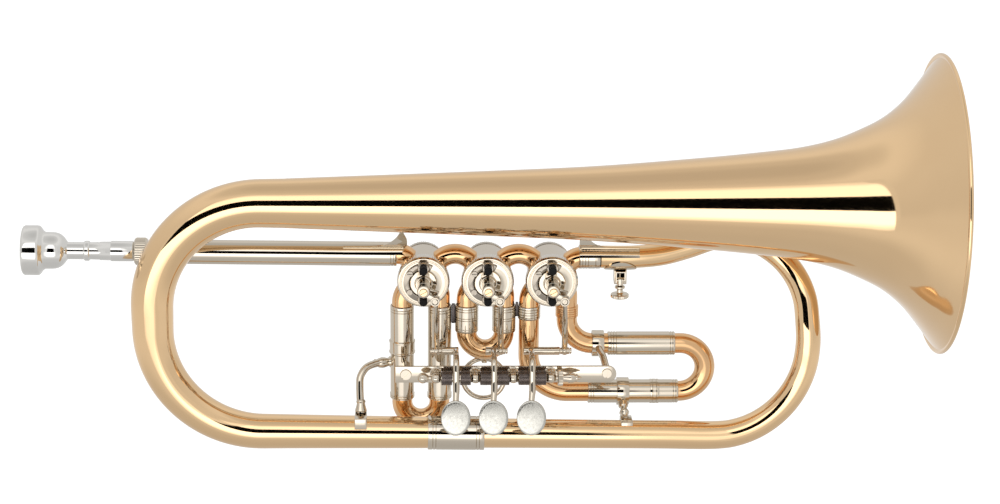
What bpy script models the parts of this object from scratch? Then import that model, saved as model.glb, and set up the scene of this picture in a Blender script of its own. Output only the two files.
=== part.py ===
"""Flugelhorn with three rotary valves, as separate solids in one frame.

X runs towards the bell's mouth, -Y is the side of the valves' front caps and of the
levers, and +Z is up. The origin is on the axis of the middle valve, half
way along its casing. Every size below is in millimetres and is turned into metres
when a shape is made.
"""
import math

import bmesh
import bpy
from mathutils import Matrix, Vector

MM = 0.001
GAP = 0.3

# Valves
VALVE_X = (-33.6, -0.4, 32.8)
CASING_R = 12.0
CASING_BORE_R = 10.4
CASING_FRONT = 16.3
CASING_BACK = 13.7
ROTOR_R = 10.0
ROTOR_FRONT = 13.0
ROTOR_BACK = 10.6
REAR_CAP_Y = 14.1
CAP_R = 13.6
CAP_FACE_Y = -18.6
HUB_R = 7.0
PORT_Z = 8.5

# Tubing
LEG_R = 5.4
WALL = 0.45
SLEEVE_R = 6.4
SLIDE_R = 5.35
PLANE_Y = -18.0
BELL_Z = 42.3
BELL_JOINT_X = -104.0
BOW_X = -116.9
BOW_R = 56.5
BOTTOM_Z = -81.9
FERRULE_X = (-32.0, 0.0)
LEAD_DIR = Vector((-1.0, 0.0, 0.0107)).normalized()
LEAD_END = Vector((-47.2, 0.0, 9.75))

# Outline of the bell's outside: distance along X, radius
BELL_OUTLINE = (
    (-103.8, 12.7), (5.0, 16.9), (57.0, 19.4), (108.0, 23.4), (139.0, 26.4),
    (160.0, 29.0), (177.0, 33.0), (190.6, 38.3), (203.0, 44.7), (213.5, 53.3),
    (222.5, 64.0), (231.4, 76.2),
)
BELL_WALL = 0.6
RIM_BEAD = 1.3

# Slides: X of the left and right leg
SLIDE_LEGS = ((-44.7, -25.0), (-10.8, 8.8), (22.0, 41.9))
SLIDE_1_END_Z = -69.7
SLIDE_1_BOW_Z = -72.0
SLIDE_2_END_Z = -32.4
SLIDE_2_BOW_Z = -33.2
SLIDE_3_UPPER_Z = -39.6
SLIDE_3_LOWER_Z = -66.5
SLIDE_3_END_X = 101.6
PULL_RING = (-1.6, -59.2, 11.0, 1.3)

# Saddles: distance along X, share of the way to the bell
LEAD_SADDLE = ((-75.2, 0.33), (-60.0, 0.35), (-54.0, 0.42), (-50.0, 0.56), (-47.0, 0.78), (-44.6, 1.0))
OUTLET_SADDLE = ((49.0, 1.0), (51.0, 0.78), (54.0, 0.56), (58.0, 0.42), (64.0, 0.35), (79.0, 0.33))

# Square hole for the stem of a lyre
LYRE_SQUARE = 4.1

# Lever work
SHAFT = (-31.0, -47.8)
SHAFT_R = 1.1
POST_X = (-27.1, -6.7, 12.9, 32.4)
POST_R = 2.8
PLATE_Z = -48.9
PLATE_HALF = 4.5
PLATE_FRONT_Y = -22.7
PLATE_THICK = 1.5
LEVER_X = (-16.7, 2.9, 22.6)
FINGER_X = (-17.0, 2.4, 21.9)
FINGER_YZ = (-44.0, -65.0)
FINGER_TILT = math.radians(12.0)
BALL_YZ = (-11.0, -40.0)
BALL_X = (-26.6, 6.9, 40.4)
LINK_BARREL_X = ((-24.0, -15.2), (-1.1, 4.4), (18.8, 37.9))
ARM_R = 1.5
EYE_R = 8.0
EYE_ANGLE = math.radians(-43.0)
EYE_Y = -30.3
EYE_SLIP = 0.5

BRASS = ((0.83, 0.62, 0.38), 0.18)
GOLD_BRASS = ((0.80, 0.50, 0.25), 0.2)
NICKEL = ((0.72, 0.68, 0.60), 0.22)
SILVER = ((0.86, 0.85, 0.83), 0.15)
STEEL = ((0.34, 0.31, 0.30), 0.35)
RUBBER = ((0.02, 0.02, 0.02), 0.7)


# ---------------------------------------------------------------- scene helpers

def start_scene():
    """Empty the file and make the collections for parts and for cutters."""
    for item in list(bpy.data.objects):
        bpy.data.objects.remove(item, do_unlink=True)
    parts = bpy.data.collections.new("flugelhorn")
    cutters = bpy.data.collections.new("flugelhorn_cutters")
    for collection in (parts, cutters):
        bpy.context.scene.collection.children.link(collection)
    return parts, cutters


PARTS, CUTTERS = start_scene()


def as_cutter(item):
    """Keep a shape only as a tool for Boolean modifiers."""
    for collection in list(item.users_collection):
        collection.objects.unlink(item)
    CUTTERS.objects.link(item)
    item.hide_render = True
    item.display_type = "WIRE"
    return item


def as_part(item, name, look):
    """Name a shape, give it its own material and put it among the parts."""
    for collection in list(item.users_collection):
        collection.objects.unlink(item)
    PARTS.objects.link(item)
    item.name = name
    colour, roughness = look
    material = bpy.data.materials.new(name + "_surface")
    material.use_nodes = True
    shader = material.node_tree.nodes["Principled BSDF"]
    shader.inputs["Base Color"].default_value = (*colour, 1.0)
    shader.inputs["Roughness"].default_value = roughness
    shader.inputs["Metallic"].default_value = 0.0 if look is RUBBER else 1.0
    item.data.materials.clear()
    item.data.materials.append(material)
    item.data.shade_smooth()
    item.data.set_sharp_from_angle(angle=math.radians(35.0))
    return item


def boolean(item, operation, others):
    """Add one Boolean modifier for each of the other shapes."""
    for other in others:
        modifier = item.modifiers.new(operation.lower(), "BOOLEAN")
        modifier.operation = operation
        modifier.solver = "EXACT"
        modifier.object = as_cutter(other)
    return item


def join(item, *others):
    return boolean(item, "UNION", others)


def cut(item, *others):
    return boolean(item, "DIFFERENCE", others)


def parent_at(pivot_name, location, children):
    """An empty on a joint's axis, with the moving pieces under it."""
    pivot = bpy.data.objects.new(pivot_name, None)
    pivot.location = Vector(location) * MM
    PARTS.objects.link(pivot)
    bpy.context.view_layer.update()
    for child in children:
        child.parent = pivot
        child.matrix_parent_inverse = pivot.matrix_world.inverted()
    return pivot


# ---------------------------------------------------------------- shape helpers

def swept(points, radii, sides, filled):
    """A mesh swept along points by a bevelled poly curve; radii follow the points."""
    curve = bpy.data.curves.new("sweep", "CURVE")
    curve.dimensions = "3D"
    curve.bevel_depth = MM
    curve.bevel_resolution = (sides - 4) // 2
    curve.use_fill_caps = filled
    spline = curve.splines.new("POLY")
    spline.points.add(len(points) - 1)
    for point, place, radius in zip(spline.points, points, radii):
        point.co = (*(Vector(place) * MM), 1.0)
        point.radius = radius
    holder = bpy.data.objects.new("sweep", curve)
    bpy.context.scene.collection.objects.link(holder)
    bpy.context.view_layer.update()
    graph = bpy.context.evaluated_depsgraph_get()
    mesh = bpy.data.meshes.new_from_object(holder.evaluated_get(graph))
    bpy.data.objects.remove(holder, do_unlink=True)
    bpy.data.curves.remove(curve)
    shape = bmesh.new()
    shape.from_mesh(mesh)
    bmesh.ops.remove_doubles(shape, verts=shape.verts, dist=1e-7)
    bmesh.ops.recalc_face_normals(shape, faces=shape.faces)
    shape.to_mesh(mesh)
    shape.free()
    result = bpy.data.objects.new("sweep", mesh)
    bpy.context.scene.collection.objects.link(result)
    return result


def spread(radius, points):
    """The same radius at each point, unless a list of radii is given."""
    return [radius] * len(points) if isinstance(radius, (int, float)) else radius


def rod(points, radius, sides=8):
    return swept(points, spread(radius, points), sides, True)


def pipe(points, radius, wall=WALL, sides=10):
    """A hollow tube, open at both ends, with its outer radius at each point."""
    item = swept(points, spread(radius, points), sides, False)
    shell = item.modifiers.new("wall", "SOLIDIFY")
    shell.thickness = wall * MM
    shell.offset = -1.0
    shell.use_even_offset = True
    return item


def turned(outer, place, axis, inner=None, steps=20):
    """A turned piece: outer and inner are (height, radius) from low to high."""
    profile = [(radius, height) for height, radius in reversed(outer)]
    if inner is None:
        profile.insert(0, (0.0, outer[-1][0]))
        profile.append((0.0, outer[0][0]))
    else:
        profile += [(radius, height) for height, radius in inner]
    mesh = bpy.data.meshes.new("turned")
    shape = bmesh.new()
    corners = [shape.verts.new((r * MM, 0.0, h * MM)) for r, h in profile]
    for first, second in zip(corners, corners[1:]):
        shape.edges.new((first, second))
    if inner is not None:
        shape.edges.new((corners[-1], corners[0]))
    shape.to_mesh(mesh)
    shape.free()
    item = bpy.data.objects.new("turned", mesh)
    bpy.context.scene.collection.objects.link(item)
    screw = item.modifiers.new("turn", "SCREW")
    screw.axis = "Z"
    screw.steps = steps
    screw.render_steps = steps
    screw.use_merge_vertices = True
    screw.merge_threshold = 1e-6
    turn = Vector((0.0, 0.0, 1.0)).rotation_difference(Vector(axis).normalized())
    item.matrix_world = Matrix.Translation(Vector(place) * MM) @ turn.to_matrix().to_4x4()
    return item


def cylinder(start, end, radius, steps=12):
    """A plain cylinder between two points."""
    along = Vector(end) - Vector(start)
    return turned([(0.0, radius), (along.length, radius)], start, along, steps=steps)


def ball(place, radius, steps=8, rings=5):
    heights = [-math.cos(math.pi * k / rings) for k in range(1, rings)]
    outline = [(radius * h, radius * math.sqrt(1.0 - h * h)) for h in heights]
    return turned(outline, place, (1.0, 0.0, 0.0), steps=steps)


def slab(outline, low, high):
    """A flat plate: its outline lies in XZ and it reaches from low to high along Y."""
    curve = bpy.data.curves.new("slab", "CURVE")
    curve.dimensions = "2D"
    curve.fill_mode = "BOTH"
    curve.extrude = 0.5 * (high - low) * MM
    spline = curve.splines.new("POLY")
    spline.points.add(len(outline) - 1)
    for point, (x, z) in zip(spline.points, outline):
        point.co = (x * MM, z * MM, 0.0, 1.0)
    spline.use_cyclic_u = True
    holder = bpy.data.objects.new("slab", curve)
    bpy.context.scene.collection.objects.link(holder)
    bpy.context.view_layer.update()
    graph = bpy.context.evaluated_depsgraph_get()
    mesh = bpy.data.meshes.new_from_object(holder.evaluated_get(graph))
    bpy.data.objects.remove(holder, do_unlink=True)
    bpy.data.curves.remove(curve)
    shape = bmesh.new()
    shape.from_mesh(mesh)
    bmesh.ops.remove_doubles(shape, verts=shape.verts, dist=1e-7)
    bmesh.ops.rotate(shape, verts=shape.verts, matrix=Matrix.Rotation(math.pi / 2, 3, "X"))
    bmesh.ops.translate(shape, verts=shape.verts, vec=(0.0, 0.5 * (low + high) * MM, 0.0))
    bmesh.ops.recalc_face_normals(shape, faces=shape.faces)
    shape.to_mesh(mesh)
    shape.free()
    item = bpy.data.objects.new("slab", mesh)
    bpy.context.scene.collection.objects.link(item)
    return item


def box(low, high):
    bpy.ops.mesh.primitive_cube_add(size=1.0)
    item = bpy.context.object
    middle = (Vector(low) + Vector(high)) * 0.5 * MM
    size = (Vector(high) - Vector(low)) * MM
    item.data.transform(Matrix.Translation(middle) @ Matrix.Diagonal((*size, 1.0)))
    return item


def arc(x, z, radius, start, end, steps, y=0.0):
    """Points on an arc in a plane of constant Y; angles in degrees from +X to +Z."""
    points = []
    for k in range(steps + 1):
        angle = math.radians(start + (end - start) * k / steps)
        points.append((x + radius * math.cos(angle), y, z + radius * math.sin(angle)))
    return points


def smooth(points, steps):
    """A Catmull-Rom curve through the points."""
    ends = [Vector(p) for p in points]
    ends = [2 * ends[0] - ends[1]] + ends + [2 * ends[-1] - ends[-2]]
    result = []
    for k in range(1, len(ends) - 2):
        a, b, c, d = ends[k - 1:k + 3]
        for step in range(steps):
            t = step / steps
            result.append(0.5 * ((2 * b) + (c - a) * t + (2 * a - 5 * b + 4 * c - d) * t ** 2
                                 + (3 * b - a - 3 * c + d) * t ** 3))
    result.append(ends[-2])
    return [tuple(point) for point in result]


def taper(points, marks):
    """Radii along a path; marks are (share of the path's length, radius)."""
    lengths = [0.0]
    for first, second in zip(points, points[1:]):
        lengths.append(lengths[-1] + math.dist(first, second))
    radii = []
    for length in lengths:
        share = length / lengths[-1]
        for (low, r_low), (high, r_high) in zip(marks, marks[1:]):
            if share <= high + 1e-9:
                radii.append(r_low + (r_high - r_low) * (share - low) / (high - low))
                break
    return radii


def bottom_z(x):
    """Height of the long lower tube's axis, which falls slightly towards the bell."""
    return BOTTOM_Z - 0.0117 * (x - BOW_X)


# ---------------------------------------------------------------- bell and bows

def bell_profile(grow=0.0):
    return [(x, r + grow) for x, r in BELL_OUTLINE]


def make_bell():
    outer = bell_profile()
    inner = []
    for k, (x, r) in enumerate(outer):
        before = outer[max(k - 1, 0)]
        after = outer[min(k + 1, len(outer) - 1)]
        slope = math.atan2(after[1] - before[1], after[0] - before[0])
        inner.append((x + BELL_WALL * math.sin(slope), r - BELL_WALL * math.cos(slope)))
    inner[0] = (outer[0][0], outer[0][1] - BELL_WALL)
    rim_x, rim_r = outer[-1]
    rim = [(rim_x, rim_r + RIM_BEAD), (rim_x + 1.2, rim_r + 0.7)]
    item = turned(outer + rim, (0, PLANE_Y, BELL_Z), (1, 0, 0), inner=inner, steps=24)
    return as_part(item, "bell", BRASS)


def bell_clearance():
    """A solid a little larger than the bell, to trim pieces that reach it."""
    return turned(bell_profile(GAP + 0.1)[:4], (0, PLANE_Y, BELL_Z), (1, 0, 0), steps=28)


def make_left_bow():
    points = [(BELL_JOINT_X - 0.3, PLANE_Y, BELL_Z)]
    points += arc(BOW_X, BELL_Z - BOW_R, BOW_R, 90, 180, 7, PLANE_Y)
    points += arc(BOW_X, BOTTOM_Z + BOW_R, BOW_R, 180, 270, 7, PLANE_Y)
    points.append((-17.0, PLANE_Y, bottom_z(-17.0)))
    radii = taper(points, ((0.0, 12.7), (0.36, 10.8), (0.66, 9.2), (1.0, 8.15)))
    return as_part(pipe(points, radii, 0.6, 12), "left_bow", BRASS)


def make_ferrule():
    start, end = (Vector((x, PLANE_Y, bottom_z(x))) for x in FERRULE_X)
    length = (end - start).length
    outer = [(0, 9.0), (length, 9.0)]
    inner = [(0, 8.65), (length, 8.65)]
    item = turned(outer, start, end - start, inner=inner, steps=24)
    return as_part(item, "bow_ferrule", NICKEL)


def right_bow_path():
    points = [(-15.0, PLANE_Y, bottom_z(-15.0)), (60.0, PLANE_Y, bottom_z(60.0))]
    for k in range(7):
        angle = math.radians(90 * k / 6)
        points.append((120 + 47.5 * math.sin(angle), PLANE_Y + 0.16 * k,
                       -34.6 - 50.1 * math.cos(angle)))
    rise = [(167.0, -14.8, -22.5), (165.6, -10.5, -11.0), (161.3, -5.0, -1.0),
            (153.8, 0.0, 7.6), (143.0, 3.6, 14.4), (130.5, 5.0, 17.9), (117.5, 4.7, 16.4),
            (104.5, 3.6, 12.2), (91.0, 2.0, 9.0), (76.0, 0.6, 8.0), (59.0, 0.0, 8.2)]
    return points + rise


def make_right_bow():
    points = right_bow_path()
    marks = ((0.0, 7.9), (0.25, 7.5), (0.36, 7.45), (0.56, 6.6), (0.78, 6.1), (1.0, 5.9))
    radii = taper(points, marks)
    return as_part(pipe(points, radii, 0.5, 12), "right_bow", BRASS)


# ---------------------------------------------------------------- valves

def casing_cutter(x):
    return cylinder((x, -25.0, 0.0), (x, 25.0, 0.0), CASING_R + GAP, steps=18)


def leg_elbow(valve_x, leg_x):
    """Path from inside the casing's lower port to the vertical leg, from the top."""
    side = math.copysign(1.0, leg_x - valve_x)
    reach = abs(leg_x - valve_x)
    radius = max(6.5, (reach - 7.6) / (1.0 - math.cos(math.pi / 4)))
    start_z = -PORT_Z - radius * math.sin(math.pi / 4)
    points = []
    for k in range(4):
        angle = math.pi / 4 * (1.0 - k / 3)
        points.append((leg_x - side * radius * (1.0 - math.cos(angle)), 0.0,
                       start_z + radius * math.sin(angle)))
    x, _, z = points[0]
    points.insert(0, (x - side * 2.0, 0.0, z + 2.0))
    return points


def knuckle_path(left_x, right_x):
    middle = 0.5 * (left_x + right_x)
    points = arc(middle, 9.8 - 11.7, 11.7, 135, 45, 5)
    first, last = points[0], points[-1]
    points.insert(0, (first[0] - 2.0, 0.0, first[2] - 2.0))
    points.append((last[0] + 2.0, 0.0, last[2] - 2.0))
    return points


def inlet_path():
    x, _, z = LEAD_END
    points = [(x + 0.4, 0.0, z)]
    points += arc(x + 1.0, z - 6.5, 6.5, 90, 45, 3)
    last = points[-1]
    points.append((last[0] + 2.2, 0.0, last[2] - 2.2))
    return points


def outlet_path():
    points = arc(50.0, -1.8, 10.0, 135, 90, 3)
    first = points[0]
    points.insert(0, (first[0] - 2.2, 0.0, first[2] - 2.2))
    return points + [(58.4, 0.0, 8.2)]


def port_paths():
    """The four ports of each valve, as tube paths that start or end inside it."""
    legs = [[leg_elbow(x, leg) for leg in pair] for x, pair in zip(VALVE_X, SLIDE_LEGS)]
    first = knuckle_path(VALVE_X[0], VALVE_X[1])
    second = knuckle_path(VALVE_X[1], VALVE_X[2])
    tops = ((inlet_path(), first), (first, second), (second, outlet_path()))
    return [list(top) + pair for top, pair in zip(tops, legs)]


def make_casings():
    for number, (x, paths) in enumerate(zip(VALVE_X, port_paths()), start=1):
        outer = [(-CASING_FRONT, CASING_R), (CASING_BACK, CASING_R)]
        inner = [(y, CASING_BORE_R) for y, _ in outer]
        ring = turned(outer, (x, 0, 0), (0, 1, 0), inner=inner, steps=18)
        bores = [rod(path, LEG_R - WALL, 6) for path in paths]
        as_part(cut(ring, *bores), f"valve_casing_{number}", NICKEL)


def make_knuckles():
    for number in (1, 2):
        left, right = VALVE_X[number - 1], VALVE_X[number]
        item = pipe(knuckle_path(left, right), 5.3)
        cut(item, casing_cutter(left), casing_cutter(right))
        as_part(item, f"knuckle_{number}", GOLD_BRASS)


def make_inlet_and_outlet():
    inlet = cut(pipe(inlet_path(), 5.4), casing_cutter(VALVE_X[0]))
    as_part(inlet, "inlet_elbow", GOLD_BRASS)
    path = outlet_path()
    path[-1:-1] = [(50.8, 0.0, 8.2)]
    radii = [5.4] * (len(path) - 2) + [6.1, 6.1]
    outlet = cut(pipe(path, radii), casing_cutter(VALVE_X[2]))
    as_part(outlet, "outlet_elbow", GOLD_BRASS)


def make_caps():
    """Front caps with a bearing hub, and rear caps that plug the casings."""
    skirt = CASING_R + 0.35
    for number, x in enumerate(VALVE_X, start=1):
        outer = [(0, 4.2), (2.5, 4.2), (2.6, HUB_R), (4.4, HUB_R), (4.4, CAP_R), (11.2, CAP_R)]
        inner = [(0, 2.0), (6.2, 2.0), (6.2, skirt), (11.2, skirt)]
        front = turned(outer, (x, -23.0, 0), (0, 1, 0), inner=inner, steps=18)
        as_part(front, f"front_cap_{number}", NICKEL)
        low, high = REAR_CAP_Y - 2.9, REAR_CAP_Y + 2.9
        outer = [(low, 9.9), (REAR_CAP_Y - 0.1, 9.9), (REAR_CAP_Y, 11.5), (high, 11.5)]
        inner = [(low, 2.4), (high, 2.4)]
        rear = turned(outer, (x, 0, 0), (0, 1, 0), inner=inner, steps=18)
        as_part(rear, f"rear_cap_{number}", NICKEL)


def make_rotor(number):
    """A rotor with its spindle and two curved passages through the body."""
    x = VALVE_X[number - 1]
    front = CAP_FACE_Y - 17.2
    outer = [(front, 1.5), (-ROTOR_FRONT, 1.5), (-ROTOR_FRONT, ROTOR_R), (ROTOR_BACK, ROTOR_R),
             (ROTOR_BACK, 2.0), (REAR_CAP_Y + 0.6, 2.0)]
    body = turned(outer, (x, 0, 0), (0, 1, 0), steps=18)
    centre = ROTOR_R * math.sqrt(2.0)
    tops = arc(x, centre, ROTOR_R, 205, 335, 6)
    bottoms = arc(x, -centre, ROTOR_R, 25, 155, 6)
    cut(body, rod(tops, 4.2, 6), rod(bottoms, 4.2, 6))
    return as_part(body, f"rotor_{number}", BRASS)


def sector(x, inner_r, outer_r, start, end, low, high):
    """A flat ring sector round the valve's axis."""
    steps = 4
    angles = [math.radians(start + (end - start) * k / steps) for k in range(steps + 1)]
    outline = [(x + outer_r * math.cos(a), outer_r * math.sin(a)) for a in angles]
    outline += [(x + inner_r * math.cos(a), inner_r * math.sin(a)) for a in reversed(angles)]
    return slab(outline, low, high)


def make_stop_arm(number):
    """Hub on the spindle, a crescent that meets the bumpers, and the eye boss."""
    x = VALVE_X[number - 1]
    hub = turned([(0, 3.3), (11.8, 3.3)], (x, -35.2, 0), (0, 1, 0),
                 inner=[(0, 1.85), (11.8, 1.85)], steps=16)
    crescent = sector(x, 2.6, 8.8, -71.5, -18.5, -26.2, -23.8)
    eye = (x + EYE_R * math.cos(EYE_ANGLE), EYE_R * math.sin(EYE_ANGLE))
    arm = slab([(x + 1.4, -2.7), (eye[0] - 1.2, eye[1] - 1.2), (eye[0] + 1.2, eye[1] + 1.2),
                (x + 2.7, -1.4)], -34.2, -32.6)
    boss = cylinder((eye[0], -34.8, eye[1]), (eye[0], -32.4, eye[1]), 2.5, steps=12)
    return as_part(join(hub, crescent, arm, boss), f"stop_arm_{number}", NICKEL)


def make_bumpers(number):
    """Carrier ring on the cap's face with a bumper peg above and below the hub."""
    x = VALVE_X[number - 1]
    ring = turned([(0, 10.4), (2.1, 10.4)], (x, -21.0, 0), (0, 1, 0),
                  inner=[(0, 7.4), (2.1, 7.4)], steps=16)
    pegs = [cylinder((x, -26.8, z), (x, -20.75, z), 2.1, steps=8) for z in (-8.4, 8.4)]
    return as_part(join(ring, *pegs), f"bumpers_{number}", RUBBER)


def make_valve_inner():
    for number, x in enumerate(VALVE_X, start=1):
        rotor = make_rotor(number)
        arm = make_stop_arm(number)
        make_bumpers(number)
        parent_at(f"rotor_{number}_axis", (x, 0, 0), (rotor, arm))


# ---------------------------------------------------------------- valve slides

def make_slide_1():
    valve = VALVE_X[0]
    for side, leg in zip(("left", "right"), SLIDE_LEGS[0]):
        points = leg_elbow(valve, leg)
        heights = [-17.9, -18.4, SLIDE_1_END_Z]
        radii = [LEG_R] * (len(points) + 1) + [SLEEVE_R] * 2
        if side == "left":
            heights[2:2] = [-37.4, -37.8, -44.2, -44.6]
            radii[-1:] = [SLEEVE_R, 6.9, 6.9, SLEEVE_R, SLEEVE_R]
        points += [(leg, 0.0, z) for z in heights]
        item = cut(pipe(points, radii), casing_cutter(valve))
        as_part(item, f"slide_1_leg_{side}", NICKEL)
    left, right = SLIDE_LEGS[0]
    half = 0.5 * (right - left)
    points = [(left, 0.0, -36.0)] + arc(left + half, SLIDE_1_BOW_Z, half, 180, 360, 7)
    points.append((right, 0.0, -36.0))
    bow = as_part(pipe(points, SLIDE_R), "slide_1_bow", GOLD_BRASS)
    parent_at("slide_1_axis", (left + half, 0, SLIDE_1_BOW_Z), (bow,))


def make_slide_2():
    valve = VALVE_X[1]
    for side, leg in zip(("left", "right"), SLIDE_LEGS[1]):
        points = leg_elbow(valve, leg)
        radii = [LEG_R] * (len(points) + 1) + [6.25] * 2
        points += [(leg, 0.0, z) for z in (-17.9, -18.4, SLIDE_2_END_Z)]
        item = cut(pipe(points, radii, 0.35), casing_cutter(valve))
        as_part(item, f"slide_2_leg_{side}", NICKEL)
    left, right = SLIDE_LEGS[1]
    half = 0.5 * (right - left)
    points = [(left, 0.0, -19.8)] + arc(left + half, SLIDE_2_BOW_Z, half, 180, 360, 7)
    points.append((right, 0.0, -19.8))
    bow = pipe(points, SLIDE_R)
    x, z, ring_r, wire_r = PULL_RING
    ring = turned([(-wire_r, ring_r), (0.0, ring_r + wire_r), (wire_r, ring_r)],
                  (x, 0, z), (0, 1, 0),
                  inner=[(0.0, ring_r - wire_r)], steps=14)
    bow = as_part(join(bow, ring), "slide_2_bow", GOLD_BRASS)
    parent_at("slide_2_axis", (left + half, 0, SLIDE_2_BOW_Z), (bow,))


def make_slide_3():
    valve = VALVE_X[2]
    left, right = SLIDE_LEGS[2]
    points = leg_elbow(valve, left)
    count = len(points)
    points += [(left, 0.0, z) for z in (-17.9, -18.3, -25.4, -25.8)]
    points += arc(left + 21.0, SLIDE_3_LOWER_Z + 21.0, 21.0, 180, 270, 6)
    points += [(x, 0.0, SLIDE_3_LOWER_Z) for x in (53.2, 53.7, SLIDE_3_END_X)]
    radii = [LEG_R] * (count + 1) + [6.0, 6.0] + [LEG_R] * 9 + [SLEEVE_R] * 2
    lower = cut(pipe(points, radii), casing_cutter(valve))
    as_part(lower, "slide_3_leg_lower", GOLD_BRASS)
    points = leg_elbow(valve, right)
    count = len(points)
    points += [(right, 0.0, z) for z in (-17.9, -18.3, -24.4, -24.8)]
    points += arc(right + 14.0, SLIDE_3_UPPER_Z + 14.0, 14.0, 180, 270, 5)
    points += [(x, 0.0, SLIDE_3_UPPER_Z) for x in (63.2, 63.7, SLIDE_3_END_X - 2.4)]
    radii = [LEG_R] * (count + 1) + [6.0, 6.0] + [LEG_R] * 8 + [SLEEVE_R] * 2
    upper = cut(pipe(points, radii), casing_cutter(valve))
    as_part(upper, "slide_3_leg_upper", GOLD_BRASS)
    half = 0.5 * (SLIDE_3_UPPER_Z - SLIDE_3_LOWER_Z)
    middle = SLIDE_3_LOWER_Z + half
    bow_x = SLIDE_3_END_X + 0.6
    points = [(68.0, 0.0, SLIDE_3_LOWER_Z)] + arc(bow_x, middle, half, -90, 90, 7)
    points.append((68.0, 0.0, SLIDE_3_UPPER_Z))
    bow = as_part(pipe(points, SLIDE_R), "slide_3_bow", GOLD_BRASS)
    parent_at("slide_3_axis", (bow_x, 0, middle), (bow,))


# ---------------------------------------------------------------- lever work

def make_rack():
    """Rack plate with its fixing post, strut and clamp, and the four hinge posts."""
    z = PLATE_Z
    h = PLATE_HALF
    outline = [(-48.4, z - h), (62.5, z - h)]
    outline += [(x, zz) for x, _, zz in arc(62.5, z, h, -72, 72, 4)]
    outline += [(62.5, z + h), (-48.4, z + h)]
    plate = slab(outline, PLATE_FRONT_Y, PLATE_FRONT_Y + PLATE_THICK)
    post = cylinder((-42.7, -21.8, z), (-42.7, -7.0, z), 2.0, steps=8)
    strut = rod([(62.3, -21.8, z + 1.5), (61.0, -15.0, -44.0), (58.5, -6.0, -40.0)], 1.9, 8)
    clamp = turned([(55.3, 7.0), (61.7, 7.0)], (0, 0, SLIDE_3_UPPER_Z), (1, 0, 0),
                   inner=[(55.3, 5.9), (61.7, 5.9)], steps=16)
    extras = [post, strut, clamp]
    for x in POST_X:
        extras.append(turned([(-8.9, 3.2), (-6.0, 2.1), (-1.6, 1.8)],
                             (x, SHAFT[0], SHAFT[1]), (0, -1, 0), steps=8))
        extras.append(ball((x, *SHAFT), POST_R))
    join(plate, *extras)
    hole = cylinder((-60.0, *SHAFT), (60.0, *SHAFT), SHAFT_R + 0.4, steps=10)
    sleeve_axis = [(x, 0.0, SLIDE_3_UPPER_Z) for x in (50.0, 70.0)]
    keep_clear = cylinder(*sleeve_axis, 5.9, steps=16)
    cut(plate, hole, keep_clear)
    return as_part(plate, "rack_plate", NICKEL)


def make_hinge_rod():
    outline = [(-36.6, 1.2), (-34.0, 2.8), (-31.0, 1.8), (-30.9, SHAFT_R), (35.7, SHAFT_R),
               (35.8, 4.1), (38.6, 4.1), (38.7, 1.8), (42.4, 2.8), (45.6, 1.6), (48.4, 0.5)]
    item = turned(outline, (0, *SHAFT), (1, 0, 0), steps=8)
    return as_part(item, "hinge_rod", NICKEL)


def barrel_span(number):
    """The stretch of hinge rod between two posts."""
    return POST_X[number - 1] + POST_R + GAP, POST_X[number] - POST_R - GAP


def make_lever(number):
    """Hinge barrel, curved arm, link barrel and the pin for the rod's ball joint."""
    x = LEVER_X[number - 1]
    finger_x = FINGER_X[number - 1]
    y, z = SHAFT
    low, high = barrel_span(number)
    barrel = cylinder((low, y, z), (high, y, z), 2.3, steps=8)
    route = [(finger_x, -41.1, -63.2), (finger_x, -38.4, -57.2), (x, -35.2, z - 3.7),
             (x, -34.4, z), (x, -34.3, z + 4.8), (x, -32.6, z + 8.9), (x, -29.0, z + 10.9),
             (x, -24.0, z + 11.2), (x, -17.5, z + 9.8), (x, BALL_YZ[0] - 0.7, BALL_YZ[1] + 0.3)]
    arm = rod(route, ARM_R, 6)
    start, end = LINK_BARREL_X[number - 1]
    link = cylinder((start, *BALL_YZ), (end, *BALL_YZ), 2.25, steps=8)
    ball_x = BALL_X[number - 1]
    side = 1.0 if ball_x > start else -1.0
    inner_end = end - 1.0 if side > 0 else start + 1.0
    pin_start = (inner_end, BALL_YZ[0] + 0.01, BALL_YZ[1] + 0.02)
    pin = cylinder(pin_start, (ball_x + side * 3.4, *BALL_YZ), 0.85, steps=6)
    head = cylinder((ball_x + side * 2.6, *BALL_YZ), (ball_x + side * 3.6, *BALL_YZ), 1.6, steps=8)
    join(barrel, arm, link, pin, head)
    cut(barrel, cylinder((low - 1, y, z), (high + 1, y, z), SHAFT_R + 0.4, steps=8))
    return as_part(barrel, f"lever_{number}", NICKEL)


def make_finger_plate(number):
    """A slightly domed oval plate."""
    normal = Vector((0.0, -math.cos(FINGER_TILT), math.sin(FINGER_TILT)))
    outline = [(-0.6, 9.0), (0.3, 9.2), (0.8, 5.5)]
    item = turned(outline, (FINGER_X[number - 1], *FINGER_YZ), normal, steps=20)
    item.matrix_world = item.matrix_world @ Matrix.Diagonal((0.83, 1.0, 1.0, 1.0))
    return as_part(item, f"finger_plate_{number}", SILVER)


def make_spring(number):
    """The double coil round the hinge barrel, open in front for the lever's arm."""
    low, high = barrel_span(number)
    x = LEVER_X[number - 1]
    y, z = SHAFT
    coil = turned([(low + 0.2, 4.1), (high - 0.2, 4.1)], (0, y, z), (1, 0, 0),
                  inner=[(low + 0.2, 2.75), (high - 0.2, 2.75)], steps=12)
    front = box((x - 2.0, y - 6.0, z - 6.0), (x + 2.0, y + 0.8, z + 6.0))
    top = box((x - 2.0, y - 6.0, z - 0.8), (x + 2.0, y + 6.0, z + 6.0))
    return as_part(cut(coil, front, top), f"lever_spring_{number}", STEEL)


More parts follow.
